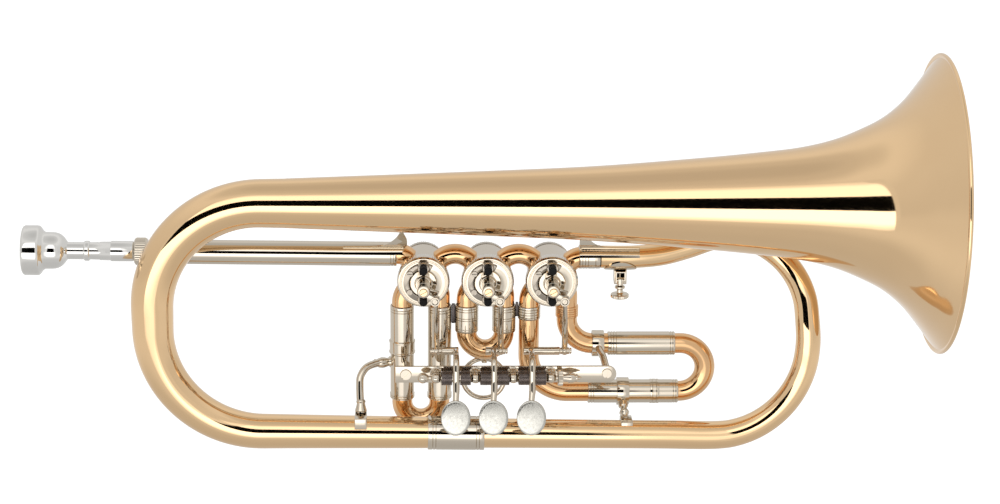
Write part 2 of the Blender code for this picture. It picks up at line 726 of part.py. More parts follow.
def make_link_rod(number):
    """Ball eye at the lever, a slim shank, and the flat eye behind the stop arm."""
    ball_x = BALL_X[number - 1]
    eye_x = VALVE_X[number - 1] + EYE_R * math.cos(EYE_ANGLE) + EYE_SLIP
    eye_z = EYE_R * math.sin(EYE_ANGLE)
    foot = (ball_x, *BALL_YZ)
    head = (eye_x, EYE_Y, eye_z)
    lower = ball(foot, 2.2)
    shank = rod([foot, head], [1.5, 1.15], 6)
    eye = cylinder((eye_x, EYE_Y - 1.0, eye_z), (eye_x, EYE_Y + 1.0, eye_z), 2.3, steps=8)
    join(lower, shank, eye)
    bore = cylinder((ball_x - 6, *BALL_YZ), (ball_x + 6, *BALL_YZ), 1.2, steps=6)
    return as_part(cut(lower, bore), f"link_rod_{number}", NICKEL)


def make_levers():
    for number in (1, 2, 3):
        lever = make_lever(number)
        plate = make_finger_plate(number)
        make_spring(number)
        link = make_link_rod(number)
        parent_at(f"lever_{number}_axis", (LEVER_X[number - 1], *SHAFT), (lever, plate))
        parent_at(f"link_rod_{number}_axis", (BALL_X[number - 1], *BALL_YZ), (link,))


# ---------------------------------------------------------------- mouthpipe end

def lead_point(distance):
    """A point on the leadpipe's axis, measured away from the first valve."""
    return LEAD_END + LEAD_DIR * distance


def make_leadpipe():
    sleeve = turned([(0, SLEEVE_R), (120.6, SLEEVE_R)], lead_point(0), LEAD_DIR,
                    inner=[(0, SLEEVE_R - WALL), (120.6, SLEEVE_R - WALL)], steps=20)
    as_part(sleeve, "leadpipe_sleeve", NICKEL)
    outer = [(24.0, 5.4), (129.2, 5.4), (129.6, 7.2), (136.2, 7.2)]
    inner = [(24.0, 4.7), (118.0, 4.7), (118.5, 5.0), (136.2, 5.0)]
    pipe_in = turned(outer, lead_point(0), LEAD_DIR, inner=inner, steps=20)
    as_part(pipe_in, "mouthpipe", NICKEL)
    parent_at("mouthpipe_axis", lead_point(136.2), (pipe_in,))


def make_mouthpiece():
    outer = [(121.2, 4.3), (136.4, 4.5), (136.6, 5.4), (149.0, 5.4), (150.2, 4.9), (168.0, 4.6),
             (173.0, 6.8), (177.4, 9.4), (182.6, 9.6), (185.2, 12.6), (193.0, 13.1), (194.0, 10.6)]
    inner = [(121.2, 3.6), (172.0, 2.1), (178.0, 4.8), (184.0, 7.4), (193.0, 8.8)]
    item = turned(outer, lead_point(0), LEAD_DIR, inner=inner, steps=18)
    as_part(item, "mouthpiece", SILVER)
    parent_at("mouthpiece_axis", lead_point(136.2), (item,))


# ---------------------------------------------------------------- holding pieces

def saddle_profile(tube_z, tube_r):
    """(y, z) from the front of a tube, over its upper half and up to the bell."""
    reach = tube_r + GAP + 0.15
    profile = []
    for k in range(5):
        angle = math.radians(190 - 60 * k / 4)
        profile.append((reach * math.cos(angle), tube_z + reach * math.sin(angle)))
    return profile + [(-7.2, 17.0), (-8.6, 20.6), (-10.6, 24.5), (-12.6, 29.0)]


def along(profile, share):
    """The point at a share of a profile's length."""
    lengths = [math.dist(a, b) for a, b in zip(profile, profile[1:])]
    left = share * sum(lengths)
    for (a, b), length in zip(zip(profile, profile[1:]), lengths):
        if left <= length:
            return tuple(a[i] + (b[i] - a[i]) * left / length for i in range(2))
        left -= length
    return profile[-1]


def saddle(name, stations, tube_z, tube_r):
    """A curved sheet that hugs a tube and rises to the bell at one end.

    Stations are (x, share of the profile that the sheet covers there).
    """
    profile = saddle_profile(tube_z, tube_r)
    across = 7
    mesh = bpy.data.meshes.new(name)
    shape = bmesh.new()
    rows = []
    for x, share in stations:
        cuts = [along(profile, share * k / across) for k in range(across + 1)]
        rows.append([shape.verts.new((x * MM, y * MM, z * MM)) for y, z in cuts])
    for first, second in zip(rows, rows[1:]):
        for k in range(across):
            shape.faces.new((first[k], second[k], second[k + 1], first[k + 1]))
    bmesh.ops.recalc_face_normals(shape, faces=shape.faces)
    shape.to_mesh(mesh)
    shape.free()
    item = bpy.data.objects.new(name, mesh)
    bpy.context.scene.collection.objects.link(item)
    shell = item.modifiers.new("sheet", "SOLIDIFY")
    shell.thickness = 0.8 * MM
    shell.offset = 1.0
    low, high = stations[0][0], stations[-1][0]
    tube_clear = cylinder((low - 5, 0, tube_z), (high + 5, 0, tube_z), tube_r + GAP + 0.05, steps=20)
    return as_part(cut(item, bell_clearance(), tube_clear), name, NICKEL)


def make_left_brace():
    """Bent rod from the first slide's sleeve to the long lower tube, with a foot."""
    top_z = bottom_z(-66.3)
    route = [(-52.2, 0.0, -50.0), (-58.0, -3.0, -49.8), (-63.5, -6.5, -50.0), (-66.3, -10.0, -54.5),
             (-66.3, -14.0, -62.0), (-66.3, -17.0, -73.6)]
    item = rod(smooth(route, 2), 1.85, 8)
    knob = turned([(0, 3.0), (5.5, 2.6), (6.5, 1.9)], (-52.2, 0, -50.0), (-1, -0.3, 0), steps=10)
    foot = box((-69.6, -26.8, top_z + 4.0), (-63.0, -14.0, top_z + 10.6))
    join(item, knob, foot)
    clear = cylinder((-90, PLANE_Y, bottom_z(-90)), (-40, PLANE_Y, bottom_z(-40)), 9.5, steps=20)
    return as_part(cut(item, clear), "left_brace", NICKEL)


def make_right_brace():
    """Clamp on the third slide's lower sleeve, with a post to the lower tube."""
    ring = turned([(69.0, 7.6), (75.5, 7.6)], (0, 0, SLIDE_3_LOWER_Z), (1, 0, 0),
                  inner=[(69.0, 6.8), (75.5, 6.8)], steps=16)
    post = rod([(72.3, -4.0, -72.0), (72.9, -9.5, -75.0), (73.3, -15.0, -78.5)], [2.6, 1.9, 2.4], 8)
    foot = box((70.0, -22.0, -81.0), (76.6, -11.0, -75.6))
    join(ring, post, foot)
    clear = cylinder((50, PLANE_Y, bottom_z(50)), (95, PLANE_Y, bottom_z(95)), 8.0, steps=20)
    inner = cylinder((60, 0, SLIDE_3_LOWER_Z), (85, 0, SLIDE_3_LOWER_Z), 6.8, steps=16)
    return as_part(cut(ring, clear, inner), "right_brace", NICKEL)


def make_lyre_socket():
    """Saddle under the outlet tube with a square socket, and its thumbscrew."""
    x = 69.4
    tube_z = 8.1
    block = box((x - 3.4, -4.2, -5.8), (x + 3.4, 4.4, 1.6))
    front = box((x - 2.65, -5.4, -5.6), (x + 2.65, -3.8, 1.5))
    saddle_plate = turned([(-7.3, 7.2), (7.3, 7.2)], (x, 0.2, tube_z), (1, 0, 0), steps=24)
    keep = box((x - 9, -9, -4), (x + 9, 9, tube_z - 2.5))
    crop = saddle_plate.modifiers.new("crop", "BOOLEAN")
    crop.operation = "INTERSECT"
    crop.object = as_cutter(keep)
    join(block, front, saddle_plate)
    tube_line = [(x - 12, -0.05, tube_z + 0.15), (x + 12, 0.85, tube_z - 0.15)]
    tube_clear = cylinder(*tube_line, 6.6, steps=16)
    half = LYRE_SQUARE / 2
    square = box((x - half, -10.0, -1.05 - half), (x + half, 3.2, -1.05 + half))
    thread = cylinder((x, -2.0, -8.0), (x, -2.0, -2.4), 1.7, steps=12)
    cut(block, tube_clear, square, thread)
    as_part(block, "lyre_socket", NICKEL)
    outline = [(-13.4, 4.9), (-11.4, 4.9), (-11.2, 1.7), (-8.8, 1.5), (-8.2, 2.8), (-7.2, 2.8),
               (-6.6, 1.3), (-3.5, 1.3)]
    screw = turned(outline, (x, -2.0, 0), (0, 0, 1), steps=14)
    as_part(screw, "lyre_thumbscrew", NICKEL)
    parent_at("lyre_thumbscrew_axis", (x, -2.0, -8.0), (screw,))


def main():
    make_bell()
    make_left_bow()
    make_ferrule()
    make_right_bow()
    make_casings()
    make_knuckles()
    make_inlet_and_outlet()
    make_caps()
    make_valve_inner()
    make_slide_1()
    make_slide_2()
    make_slide_3()
    make_rack()
    make_hinge_rod()
    make_levers()
    make_leadpipe()
    make_mouthpiece()
    saddle("leadpipe_saddle", LEAD_SADDLE, 9.95, SLEEVE_R)
    saddle("outlet_saddle", OUTLET_SADDLE, 8.1, 6.15)
    make_left_brace()
    make_right_brace()
    make_lyre_socket()
    bpy.context.view_layer.update()


main()
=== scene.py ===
from math import atan, atan2, copysign, cos, dist, pi, radians, sin, sqrt, tan, tau

import bmesh
import bpy
from mathutils import Matrix, Vector


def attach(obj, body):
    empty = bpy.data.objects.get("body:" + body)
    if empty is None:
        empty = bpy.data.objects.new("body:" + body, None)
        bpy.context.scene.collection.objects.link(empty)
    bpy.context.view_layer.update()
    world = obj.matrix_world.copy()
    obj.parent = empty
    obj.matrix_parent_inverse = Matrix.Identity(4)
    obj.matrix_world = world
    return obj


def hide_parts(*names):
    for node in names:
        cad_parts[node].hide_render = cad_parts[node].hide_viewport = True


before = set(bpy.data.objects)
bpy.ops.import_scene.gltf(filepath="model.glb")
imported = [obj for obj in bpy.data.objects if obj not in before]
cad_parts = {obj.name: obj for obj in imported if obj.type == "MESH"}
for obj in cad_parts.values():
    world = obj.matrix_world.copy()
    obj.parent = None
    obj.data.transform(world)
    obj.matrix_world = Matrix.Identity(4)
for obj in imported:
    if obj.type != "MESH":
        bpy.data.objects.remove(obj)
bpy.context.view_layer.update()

# Sizes of the instrument are in millimetres and become metres when a piece is made.
# Those of the camera, the light and the floor are in metres.
MM = 0.001
VALVE_X = (-33.6, -0.4, 32.8)
PLANE_Y = -18.0
BELL_Z = 42.3
LEG_R = 5.4
LEG_WALL = 0.45
SLEEVE_R = 6.4
SLIDE_R = 5.35
SLIDE_1_X = (-44.7, -25.0)
SLIDE_2_X = (-10.8, 8.8)
SLIDE_3_X = (22.0, 41.9)
SLIDE_3_LOWER_Z, SLIDE_3_UPPER_Z = -66.5, -39.6
OUTLET_Z = 8.2
SHAFT_Y, SHAFT_Z = -31.0, -47.8
EYE_R = 8.0
EYE_ANGLE = radians(-43.0)
EYE_SLIP = 0.5
LEAD_DIR = Vector((-1.0, 0.0, 0.0107)).normalized()
LEAD_END = Vector((-47.2, 0.0, 9.75))
X_AXIS, Y_AXIS, Z_AXIS = Vector((1, 0, 0)), Vector((0, 1, 0)), Vector((0, 0, 1))
FRONT, DOWN = Vector((0, -1, 0)), Vector((0, 0, -1))
CORNERS = ((-1, -1), (1, -1), (1, 1), (-1, 1))


# ---- materials

def new_material(name):
    material = bpy.data.materials.new(name)
    material.use_nodes = True
    tree = material.node_tree
    shader = tree.nodes["Principled BSDF"]
    place = tree.nodes.new("ShaderNodeTexCoord")
    return material, tree, shader, place.outputs["Object"]


def noise(tree, where, scale, detail, stretch=(1.0, 1.0, 1.0)):
    mapping = tree.nodes.new("ShaderNodeMapping")
    mapping.inputs["Scale"].default_value = stretch
    texture = tree.nodes.new("ShaderNodeTexNoise")
    texture.inputs["Scale"].default_value = scale
    texture.inputs["Detail"].default_value = detail
    tree.links.new(where, mapping.inputs["Vector"])
    tree.links.new(mapping.outputs["Vector"], texture.inputs["Vector"])
    return texture.outputs["Fac"]


def ramp(tree, source, low, high):
    """Two colours, mixed by how high the source is."""
    node = tree.nodes.new("ShaderNodeValToRGB")
    node.color_ramp.elements[0].position = 0.3
    node.color_ramp.elements[1].position = 0.7
    node.color_ramp.elements[0].color = (*low, 1.0)
    node.color_ramp.elements[1].color = (*high, 1.0)
    tree.links.new(source, node.inputs["Fac"])
    return node.outputs["Color"]


def spread(tree, source, low, high):
    node = tree.nodes.new("ShaderNodeMapRange")
    node.inputs["From Min"].default_value = 0.3
    node.inputs["From Max"].default_value = 0.7
    node.inputs["To Min"].default_value = low
    node.inputs["To Max"].default_value = high
    tree.links.new(source, node.inputs["Value"])
    return node.outputs["Result"]


def bumps(tree, shader, layers):
    """Stack bump layers: (height, distance in mm, strength)."""
    previous = None
    for height, distance, strength in layers:
        node = tree.nodes.new("ShaderNodeBump")
        node.inputs["Distance"].default_value = distance * MM
        node.inputs["Strength"].default_value = strength
        tree.links.new(height, node.inputs["Height"])
        if previous is not None:
            tree.links.new(previous, node.inputs["Normal"])
        previous = node.outputs["Normal"]
    tree.links.new(previous, shader.inputs["Normal"])


def metal(name, colour, roughness, coat=0.0, wobble=0.12, stretch=(1.0, 1.0, 1.0), marks_depth=0.002):
    """Polished metal: slight tone drift, fine polishing marks and a hand-worked wobble."""
    material, tree, shader, where = new_material(name)
    drift = noise(tree, where, 22.0, 3.0, stretch)
    darker = tuple(0.965 * c for c in colour)
    tone = (colour[0], colour[1] * 1.012, colour[2] * 1.03)
    tree.links.new(ramp(tree, drift, darker, tone), shader.inputs["Base Color"])
    marks = noise(tree, where, 900.0, 4.0, stretch)
    tree.links.new(spread(tree, marks, roughness * 0.75, roughness * 1.3), shader.inputs["Roughness"])
    shader.inputs["Metallic"].default_value = 1.0
    shader.inputs["Coat Weight"].default_value = coat
    shader.inputs["Coat Roughness"].default_value = 0.03
    slow = noise(tree, where, 60.0, 1.0, stretch)
    bumps(tree, shader, [(slow, wobble, 0.25), (marks, marks_depth, 0.25)])
    return material


def make_materials():
    looks = {
        "lacquered_brass": metal("bell_brass_lacquer", (0.86, 0.595, 0.335), 0.06, 0.2, 0.10,
                                 stretch=(0.35, 1.0, 1.0)),
        "gold_brass": metal("gold_brass_lacquer", (0.79, 0.485, 0.245), 0.06, 0.2),
        "nickel_silver": metal("nickel_silver_polish", (0.665, 0.585, 0.475), 0.055),
        "silver_plate": metal("silver_plate_polish", (0.80, 0.78, 0.74), 0.06),
        "spring_steel": metal("spring_wire", (0.21, 0.175, 0.16), 0.26),
        # Nickel silver for the slide spacers, darkened nearly to black as painted shade for the gaps between
        # the sleeves.
        "gap_nickel_painted_shade": metal("dull_nickel_painted_shade", (0.10, 0.085, 0.08), 0.35),
        "pearl_silver": metal("finger_plate_silver", (0.56, 0.54, 0.485), 0.26, wobble=0.02,
                              marks_depth=0.0),
        # Nickel silver for the bumper plates: rougher than the polished nickel, and its colour darkened as
        # painted shade.
        "bumper_nickel_painted_shade": metal("matt_nickel_painted_shade", (0.36, 0.315, 0.26), 0.2),
        "forged_nickel": metal("forged_nickel", (0.52, 0.46, 0.375), 0.1),
    }
    material, tree, shader, where = new_material("bumper_rubber")
    grain = noise(tree, where, 1500.0, 3.0)
    colour = ramp(tree, grain, (0.006, 0.006, 0.006), (0.012, 0.011, 0.011))
    tree.links.new(colour, shader.inputs["Base Color"])
    tree.links.new(spread(tree, grain, 0.5, 0.7), shader.inputs["Roughness"])
    shader.inputs["Specular IOR Level"].default_value = 0.12
    bumps(tree, shader, [(grain, 0.03, 0.5)])
    looks["black_rubber"] = material
    return looks


LOOKS = make_materials()


# ---- shape building

class Shape:
    """Gathers the faces of one piece, in millimetres."""

    def __init__(self):
        self.verts = []
        self.faces = []

    def add(self, verts, faces):
        base = len(self.verts)
        self.verts += [Vector(v) for v in verts]
        self.faces += [[base + i for i in face] for face in faces]
        return self

    def rows(self, rows, wrap_rows=False):
        """Skin rings of equal length, one after the other, and close both ends or wrap round."""
        count = len(rows[0])
        faces = []
        pairs = len(rows) if wrap_rows else len(rows) - 1
        for k in range(pairs):
            here, there = k * count, ((k + 1) % len(rows)) * count
            for i in range(count):
                j = (i + 1) % count
                faces.append((here + i, here + j, there + j, there + i))
        if not wrap_rows:
            faces.append(tuple(reversed(range(count))))
            faces.append(tuple(range((len(rows) - 1) * count, len(rows) * count)))
        return self.add([v for row in rows for v in row], faces)

    def tube(self, points, radii, sides=32, wall=0.0, up=None, flat=1.0, rounded=False):
        """Sweep a round or oval section along points; flat squeezes it across up."""
        points = [Vector(p) for p in points]
        if isinstance(radii, (int, float)):
            radii = [radii] * len(points)
        if rounded:
            points, radii = round_ends(points, radii)
        outer = rings(points, radii, sides, up, flat)
        if wall:
            inner = rings(points, [r - wall for r in radii], sides, up, flat)
            return self.rows(outer + inner[::-1], wrap_rows=True)
        return self.rows(outer)

    def lathe(self, profile, place, axis, steps=64, closed=False):
        """Turn (height, radius) or (height, radius, tooth depth) round an axis."""
        place, axis = Vector(place), Vector(axis).normalized()
        side = perpendicular(axis)
        across = axis.cross(side)
        rows = []
        for height, radius, *teeth in profile:
            depth = teeth[0] if teeth else 0.0
            row = []
            for k in range(steps):
                angle = tau * k / steps
                r = radius - (depth if k % 2 else 0.0)
                row.append(place + axis * height + (side * cos(angle) + across * sin(angle)) * r)
            rows.append(row)
        return self.rows(rows, wrap_rows=closed)

    def solid(self, shape):
        """Add a bmesh and free it."""
        shape.verts.index_update()
        self.add([v.co.copy() for v in shape.verts], [[v.index for v in f.verts] for f in shape.faces])
        shape.free()
        return self

    def settled(self, shape):
        """Add a bmesh in a fixed order, where its operators leave another one in each run."""
        shape.verts.index_update()
        verts = sorted(shape.verts, key=lambda v: tuple(v.co))
        order = {v.index: k for k, v in enumerate(verts)}
        faces = sorted(from_lowest([order[v.index] for v in f.verts]) for f in shape.faces)
        self.add([v.co.copy() for v in verts], faces)
        shape.free()
        return self

    def box(self, low, high, bevel=0.3):
        shape = bmesh.new()
        middle = (Vector(low) + Vector(high)) * 0.5
        size = Vector(high) - Vector(low)
        fit = Matrix.Translation(middle) @ Matrix.Diagonal((*size, 1.0))
        bmesh.ops.create_cube(shape, size=1.0, matrix=fit)
        bmesh.ops.bevel(shape, geom=list(shape.edges), offset=bevel, segments=3, affect="EDGES", profile=0.5)
        return self.solid(shape)

    def slab(self, outline, low, high, bevel):
        """A plate with bevelled rims: its outline lies in XZ, from low to high along Y."""
        shape = bmesh.new()
        corners = [shape.verts.new((x, low, z)) for x, z in outline]
        face = shape.faces.new(corners)
        grown = bmesh.ops.extrude_face_region(shape, geom=[face])
        moved = [g for g in grown["geom"] if isinstance(g, bmesh.types.BMVert)]
        bmesh.ops.translate(shape, verts=moved, vec=(0.0, high - low, 0.0))
        bmesh.ops.recalc_face_normals(shape, faces=shape.faces)
        rim = [e for e in shape.edges if abs(e.verts[0].co.y - e.verts[1].co.y) < 1e-6]
        bmesh.ops.bevel(shape, geom=rim, offset=bevel, segments=2, affect="EDGES", profile=0.5)
        return self.solid(shape)

    def piece(self, name, body, look, nodes=(), slot=None, sharp=32.0):
        """Make the object, hang it on the body it rides, give it its look and hide the model parts it stands
        for.
        """
        mesh = bpy.data.meshes.new(name)
        mesh.from_pydata([v * MM for v in self.verts], [], self.faces)
        work = bmesh.new()
        work.from_mesh(mesh)
        bmesh.ops.recalc_face_normals(work, faces=work.faces)
        work.to_mesh(mesh)
        work.free()
        mesh.materials.append(LOOKS[look])
        mesh.shade_smooth()
        mesh.set_sharp_from_angle(angle=radians(sharp))
        item = bpy.data.objects.new(name, mesh)
        bpy.context.scene.collection.objects.link(item)
        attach(item, body)
        if nodes:
            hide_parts(*nodes)
        return item

    def nickel(self, name, nodes=(), sharp=32.0):
        """Make a fixed piece of polished nickel silver."""
        return self.piece(name, "root", "nickel_silver", nodes, sharp=sharp)


def from_lowest(loop):
    """The same loop of corners, starting at its lowest number."""
    first = loop.index(min(loop))
    return loop[first:] + loop[:first]


def perpendicular(axis):
    helper = Z_AXIS if abs(axis.z) < 0.9 else X_AXIS
    return (helper - axis * helper.dot(axis)).normalized()


def rings(points, radii, sides, up, flat):
    """Rings along a path, carried without twist."""
    tangents = []
    for k in range(len(points)):
        before, after = points[max(k - 1, 0)], points[min(k + 1, len(points) - 1)]
        tangents.append((after - before).normalized())
    side = Vector(up) if up is not None else perpendicular(tangents[0])
    angles = [tau * k / sides for k in range(sides)]
    result = []
    for point, tangent, radius in zip(points, tangents, radii):
        side = (side - tangent * side.dot(tangent)).normalized()
        across = tangent.cross(side)
        result.append([point + side * (radius * cos(a)) + across * (radius * flat * sin(a)) for a in angles])
    return result


def round_ends(points, radii):
    """Close a rod with short domes."""
    out_a = (points[0] - points[1]).normalized()
    out_b = (points[-1] - points[-2]).normalized()
    angles = [radians(degrees) for degrees in (80, 60, 40, 20)]
    head = [points[0] + out_a * radii[0] * sin(a) * 0.6 for a in angles]
    head_radii = [radii[0] * cos(a) for a in angles]
    angles.reverse()
    tail = [points[-1] + out_b * radii[-1] * sin(a) * 0.6 for a in angles]
    tail_radii = [radii[-1] * cos(a) for a in angles]
    return head + points + tail, head_radii + list(radii) + tail_radii


def arc(x, z, radius, start, end, steps, y=0.0):
    points = []
    for k in range(steps + 1):
        angle = radians(start + (end - start) * k / steps)
        points.append(Vector((x + radius * cos(angle), y, z + radius * sin(angle))))
    return points


def smooth(points, steps=8):
    """A Catmull-Rom curve through the points, of any dimension."""
    size = len(points[0])
    ends = [tuple(p) for p in points]
    first = tuple(2 * ends[0][i] - ends[1][i] for i in range(size))
    last = tuple(2 * ends[-1][i] - ends[-2][i] for i in range(size))
    ends = [first] + ends + [last]
    result = []
    for k in range(1, len(ends) - 2):
        a, b, c, d = ends[k - 1:k + 3]
        for step in range(steps):
            t = step / steps
            result.append(tuple(
                0.5 * (2 * b[i] + (c[i] - a[i]) * t + (2 * a[i] - 5 * b[i] + 4 * c[i] - d[i]) * t * t
                       + (3 * b[i] - a[i] - 3 * c[i] + d[i]) * t ** 3) for i in range(size)))
    result.append(ends[-2])
    return result


def pipe(name, body, points, radii, nodes=(), sides=48, wall=LEG_WALL, look="gold_brass"):
    """A bent tube of drawn metal, open at both ends."""
    shape = Shape().tube(points, radii, sides, wall, up=Y_AXIS)
    shape.piece(name, body, look, nodes, sharp=50)


def line(start, end, steps):
    start, end = Vector(start), Vector(end)
    return [start.lerp(end, k / steps) for k in range(steps + 1)]


def taper(points, marks):
    """Radii along a path from (share of its length, radius) marks, joined smoothly."""
    table = smooth(marks, 10)
    lengths = [0.0]
    for first, second in zip(points, points[1:]):
        lengths.append(lengths[-1] + (Vector(second) - Vector(first)).length)
    radii = []
    for length in lengths:
        share = length / lengths[-1]
        for (low, r_low), (high, r_high) in zip(table, table[1:]):
            if share <= high + 1e-9:
                radii.append(r_low + (r_high - r_low) * (share - low) / (high - low))
                break
    return radii


def bottom_z(x):
    return -81.9 - 0.0117 * (x + 116.9)


def groove_band(low, high, radius, grooves=(), half=0.22):
    """Profile of a band with rounded edges and round-bottomed grooves."""
    depth, edge = 0.28, 0.25
    profile = [(low, radius - edge), (low + edge * 0.4, radius - edge * 0.3), (low + edge, radius)]
    for g in sorted(grooves):
        profile += [(g - half, radius), (g - half * 0.5, radius - depth * 0.8), (g, radius - depth),
                    (g + half * 0.5, radius - depth * 0.8), (g + half, radius)]
    return profile + [(high - edge, radius), (high - edge * 0.4, radius - edge * 0.3), (high, radius - edge)]


def slotted_screw(shape, place, axis, radius, height, slot_turn, steps=40):
    """A domed screw head with a slot cut across it."""
    work = bmesh.new()
    bmesh.ops.create_cone(work, cap_ends=True, segments=steps, radius1=radius, radius2=radius * 0.9,
                          depth=height, matrix=Matrix.Translation((0, 0, height * 0.5)))
    turn = Matrix.Rotation(slot_turn, 4, "Z")
    for side in (-1, 1):
        bmesh.ops.bisect_plane(work, geom=list(work.verts) + list(work.edges) + list(work.faces),
                               plane_co=turn @ Vector((0, side * radius * 0.13, 0)),
                               plane_no=turn @ Y_AXIS)
    back = turn.inverted()
    slot_faces = [f for f in work.faces
                  if f.normal.z > 0.9 and abs((back @ f.calc_center_median()).y) < radius * 0.12]
    grown = bmesh.ops.extrude_face_region(work, geom=slot_faces)
    moved = [g for g in grown["geom"] if isinstance(g, bmesh.types.BMVert)]
    bmesh.ops.translate(work, verts=moved, vec=(0, 0, -height * 0.55))
    bmesh.ops.delete(work, geom=slot_faces, context="FACES")
    axis = Vector(axis).normalized()
    frame_turn = Z_AXIS.rotation_difference(axis).to_matrix().to_4x4()
    work.transform(Matrix.Translation(Vector(place)) @ frame_turn)
    return shape.settled(work)


# ---- bell and bows

BELL_OUTLINE = (
    (-103.8, 12.7), (5.0, 16.9), (57.0, 19.4), (108.0, 23.4), (139.0, 26.4),
    (160.0, 29.0), (177.0, 33.0), (190.6, 38.3), (203.0, 44.7), (213.5, 53.3),
    (222.5, 64.0), (230.6, 75.0),
)


def make_bell():
    outer = smooth(BELL_OUTLINE, 10)
    inner = []
    for k, (x, r) in enumerate(outer):
        before, after = outer[max(k - 1, 0)], outer[min(k + 1, len(outer) - 1)]
        slope = atan2(after[1] - before[1], after[0] - before[0])
        inner.append((x + 0.6 * sin(slope), r - 0.6 * cos(slope)))
    angles = [radians(degrees) for degrees in range(170, -91, -20)]
    bead = [(231.3 + 1.2 * cos(a), 76.1 + 1.3 * sin(a)) for a in angles]
    shape = Shape().lathe(outer + bead + inner[::-1], (0, PLANE_Y, BELL_Z), X_AXIS, 160, closed=True)
    shape.piece("bell_shell", "root", "lacquered_brass", ["bell"], sharp=50)


def make_left_bow():
    bend = 56.5
    points = line((-101.9, PLANE_Y, BELL_Z), (-116.0, PLANE_Y, BELL_Z), 4)
    points += arc(-116.9, BELL_Z - bend, bend, 90, 180, 40, PLANE_Y)
    points += line((-173.4, PLANE_Y, -18.0), (-173.4, PLANE_Y, -22.0), 1)
    points += arc(-116.9, -81.9 + bend, bend, 180, 269.4, 40, PLANE_Y)
    points += line((-112.0, PLANE_Y, bottom_z(-112.0)), (-17.0, PLANE_Y, bottom_z(-17.0)), 16)
    radii = taper(points, ((0.0, 12.68), (0.36, 10.8), (0.66, 9.2), (1.0, 8.15)))
    pipe("left_bow_tube", "root", points, radii, ["left_bow"], 64, 0.6, "lacquered_brass")


def make_ferrule():
    start, end = (Vector((x, PLANE_Y, bottom_z(x))) for x in (-31.2, -1.6))
    length = (end - start).length
    profile = groove_band(0.0, length, 9.0, (2.6, 4.2, length - 4.2, length - 2.6))
    inner = [(length, 8.2), (0.0, 8.2)]
    Shape().lathe(profile + inner, start, end - start, 72, closed=True).nickel(
        "bow_ferrule_sleeve", ["bow_ferrule"])


def make_right_bow():
    points = [(x, PLANE_Y, bottom_z(x)) for x in (-15.0, 30.0, 60.0, 95.0)]
    for k in range(7):
        angle = radians(90 * k / 6)
        points.append((120 + 47.5 * sin(angle), PLANE_Y + 0.16 * k, -34.6 - 50.1 * cos(angle)))
    points += [(167.0, -14.8, -22.5), (165.6, -10.5, -11.0), (161.3, -5.0, -1.0), (153.8, 0.0, 7.6),
               (143.0, 3.6, 14.4), (130.5, 5.0, 17.9), (117.5, 4.7, 16.4), (104.5, 3.6, 12.2),
               (91.0, 2.0, 9.0), (76.0, 0.6, 8.0), (59.0, 0.0, OUTLET_Z)]
    points = smooth(points, 8)
    radii = taper(points, ((0.0, 7.9), (0.25, 7.5), (0.36, 7.45), (0.56, 6.6), (0.78, 6.1), (1.0, 5.9)))
    pipe("right_bow_tube", "root", points, radii, ["right_bow"], 56, 0.5, "lacquered_brass")


# ---- valves

def leg_elbow(valve_x, leg_x):
    side = copysign(1.0, leg_x - valve_x)
    reach = abs(leg_x - valve_x)
    radius = max(6.5, (reach - 7.6) / (1.0 - cos(pi / 4)))
    start_z = -8.5 - radius * sin(pi / 4)
    points = []
    for k in range(9):
        angle = pi / 4 * (1.0 - k / 8)
        points.append(Vector((leg_x - side * radius * (1.0 - cos(angle)), 0.0,
                              start_z + radius * sin(angle))))
    x, _, z = points[0]
    points.insert(0, Vector((x - side * 2.0, 0.0, z + 2.0)))
    return points


def make_casings():
    for number, x in enumerate(VALVE_X, start=1):
        shape = Shape()
        profile = [(-16.3, 12.3), (-14.0, 12.3), (-13.6, 12.0), (9.9, 12.0), (10.2, 11.8), (10.5, 11.2),
                   (13.7, 11.2), (13.7, 10.6), (-16.3, 10.6)]
        shape.lathe(profile, (x, 0, 0), Y_AXIS, 120, closed=True)
        shape.nickel(f"valve_casing_{number}_wall", [f"valve_casing_{number}"])


def make_knuckles():
    for number in (1, 2):
        middle = 0.5 * (VALVE_X[number - 1] + VALVE_X[number])
        points = arc(middle, 9.8 - 11.7, 11.7, 140, 40, 24)
        pipe(f"knuckle_{number}_tube", "root", points, 5.3, [f"knuckle_{number}"])


def make_inlet_and_outlet():
    x, _, z = LEAD_END
    points = [Vector((x - 1.2, 0.0, z + 0.02))] + arc(x + 1.0, z - 6.5, 6.5, 90, 45, 10)
    points.append(points[-1] + Vector((2.2, 0.0, -2.2)))
    pipe("inlet_elbow_tube", "root", points, LEG_R, ["inlet_elbow"])
    points = arc(50.0, -1.8, 10.0, 135, 90, 14)
    points.insert(0, points[0] + Vector((-2.2, 0.0, -2.2)))
    points.append(Vector((58.6, 0.0, OUTLET_Z)))
    pipe("outlet_elbow_tube", "root", points, LEG_R, ["outlet_elbow"])
    profile = groove_band(47.6, 58.7, 6.25, (49.4, 50.9, 52.4, 56.2)) + [(58.7, 5.5), (47.6, 5.5)]
    shape = Shape().lathe(profile, (0, 0, OUTLET_Z), X_AXIS, 56, closed=True)
    shape.nickel("outlet_ferrule")


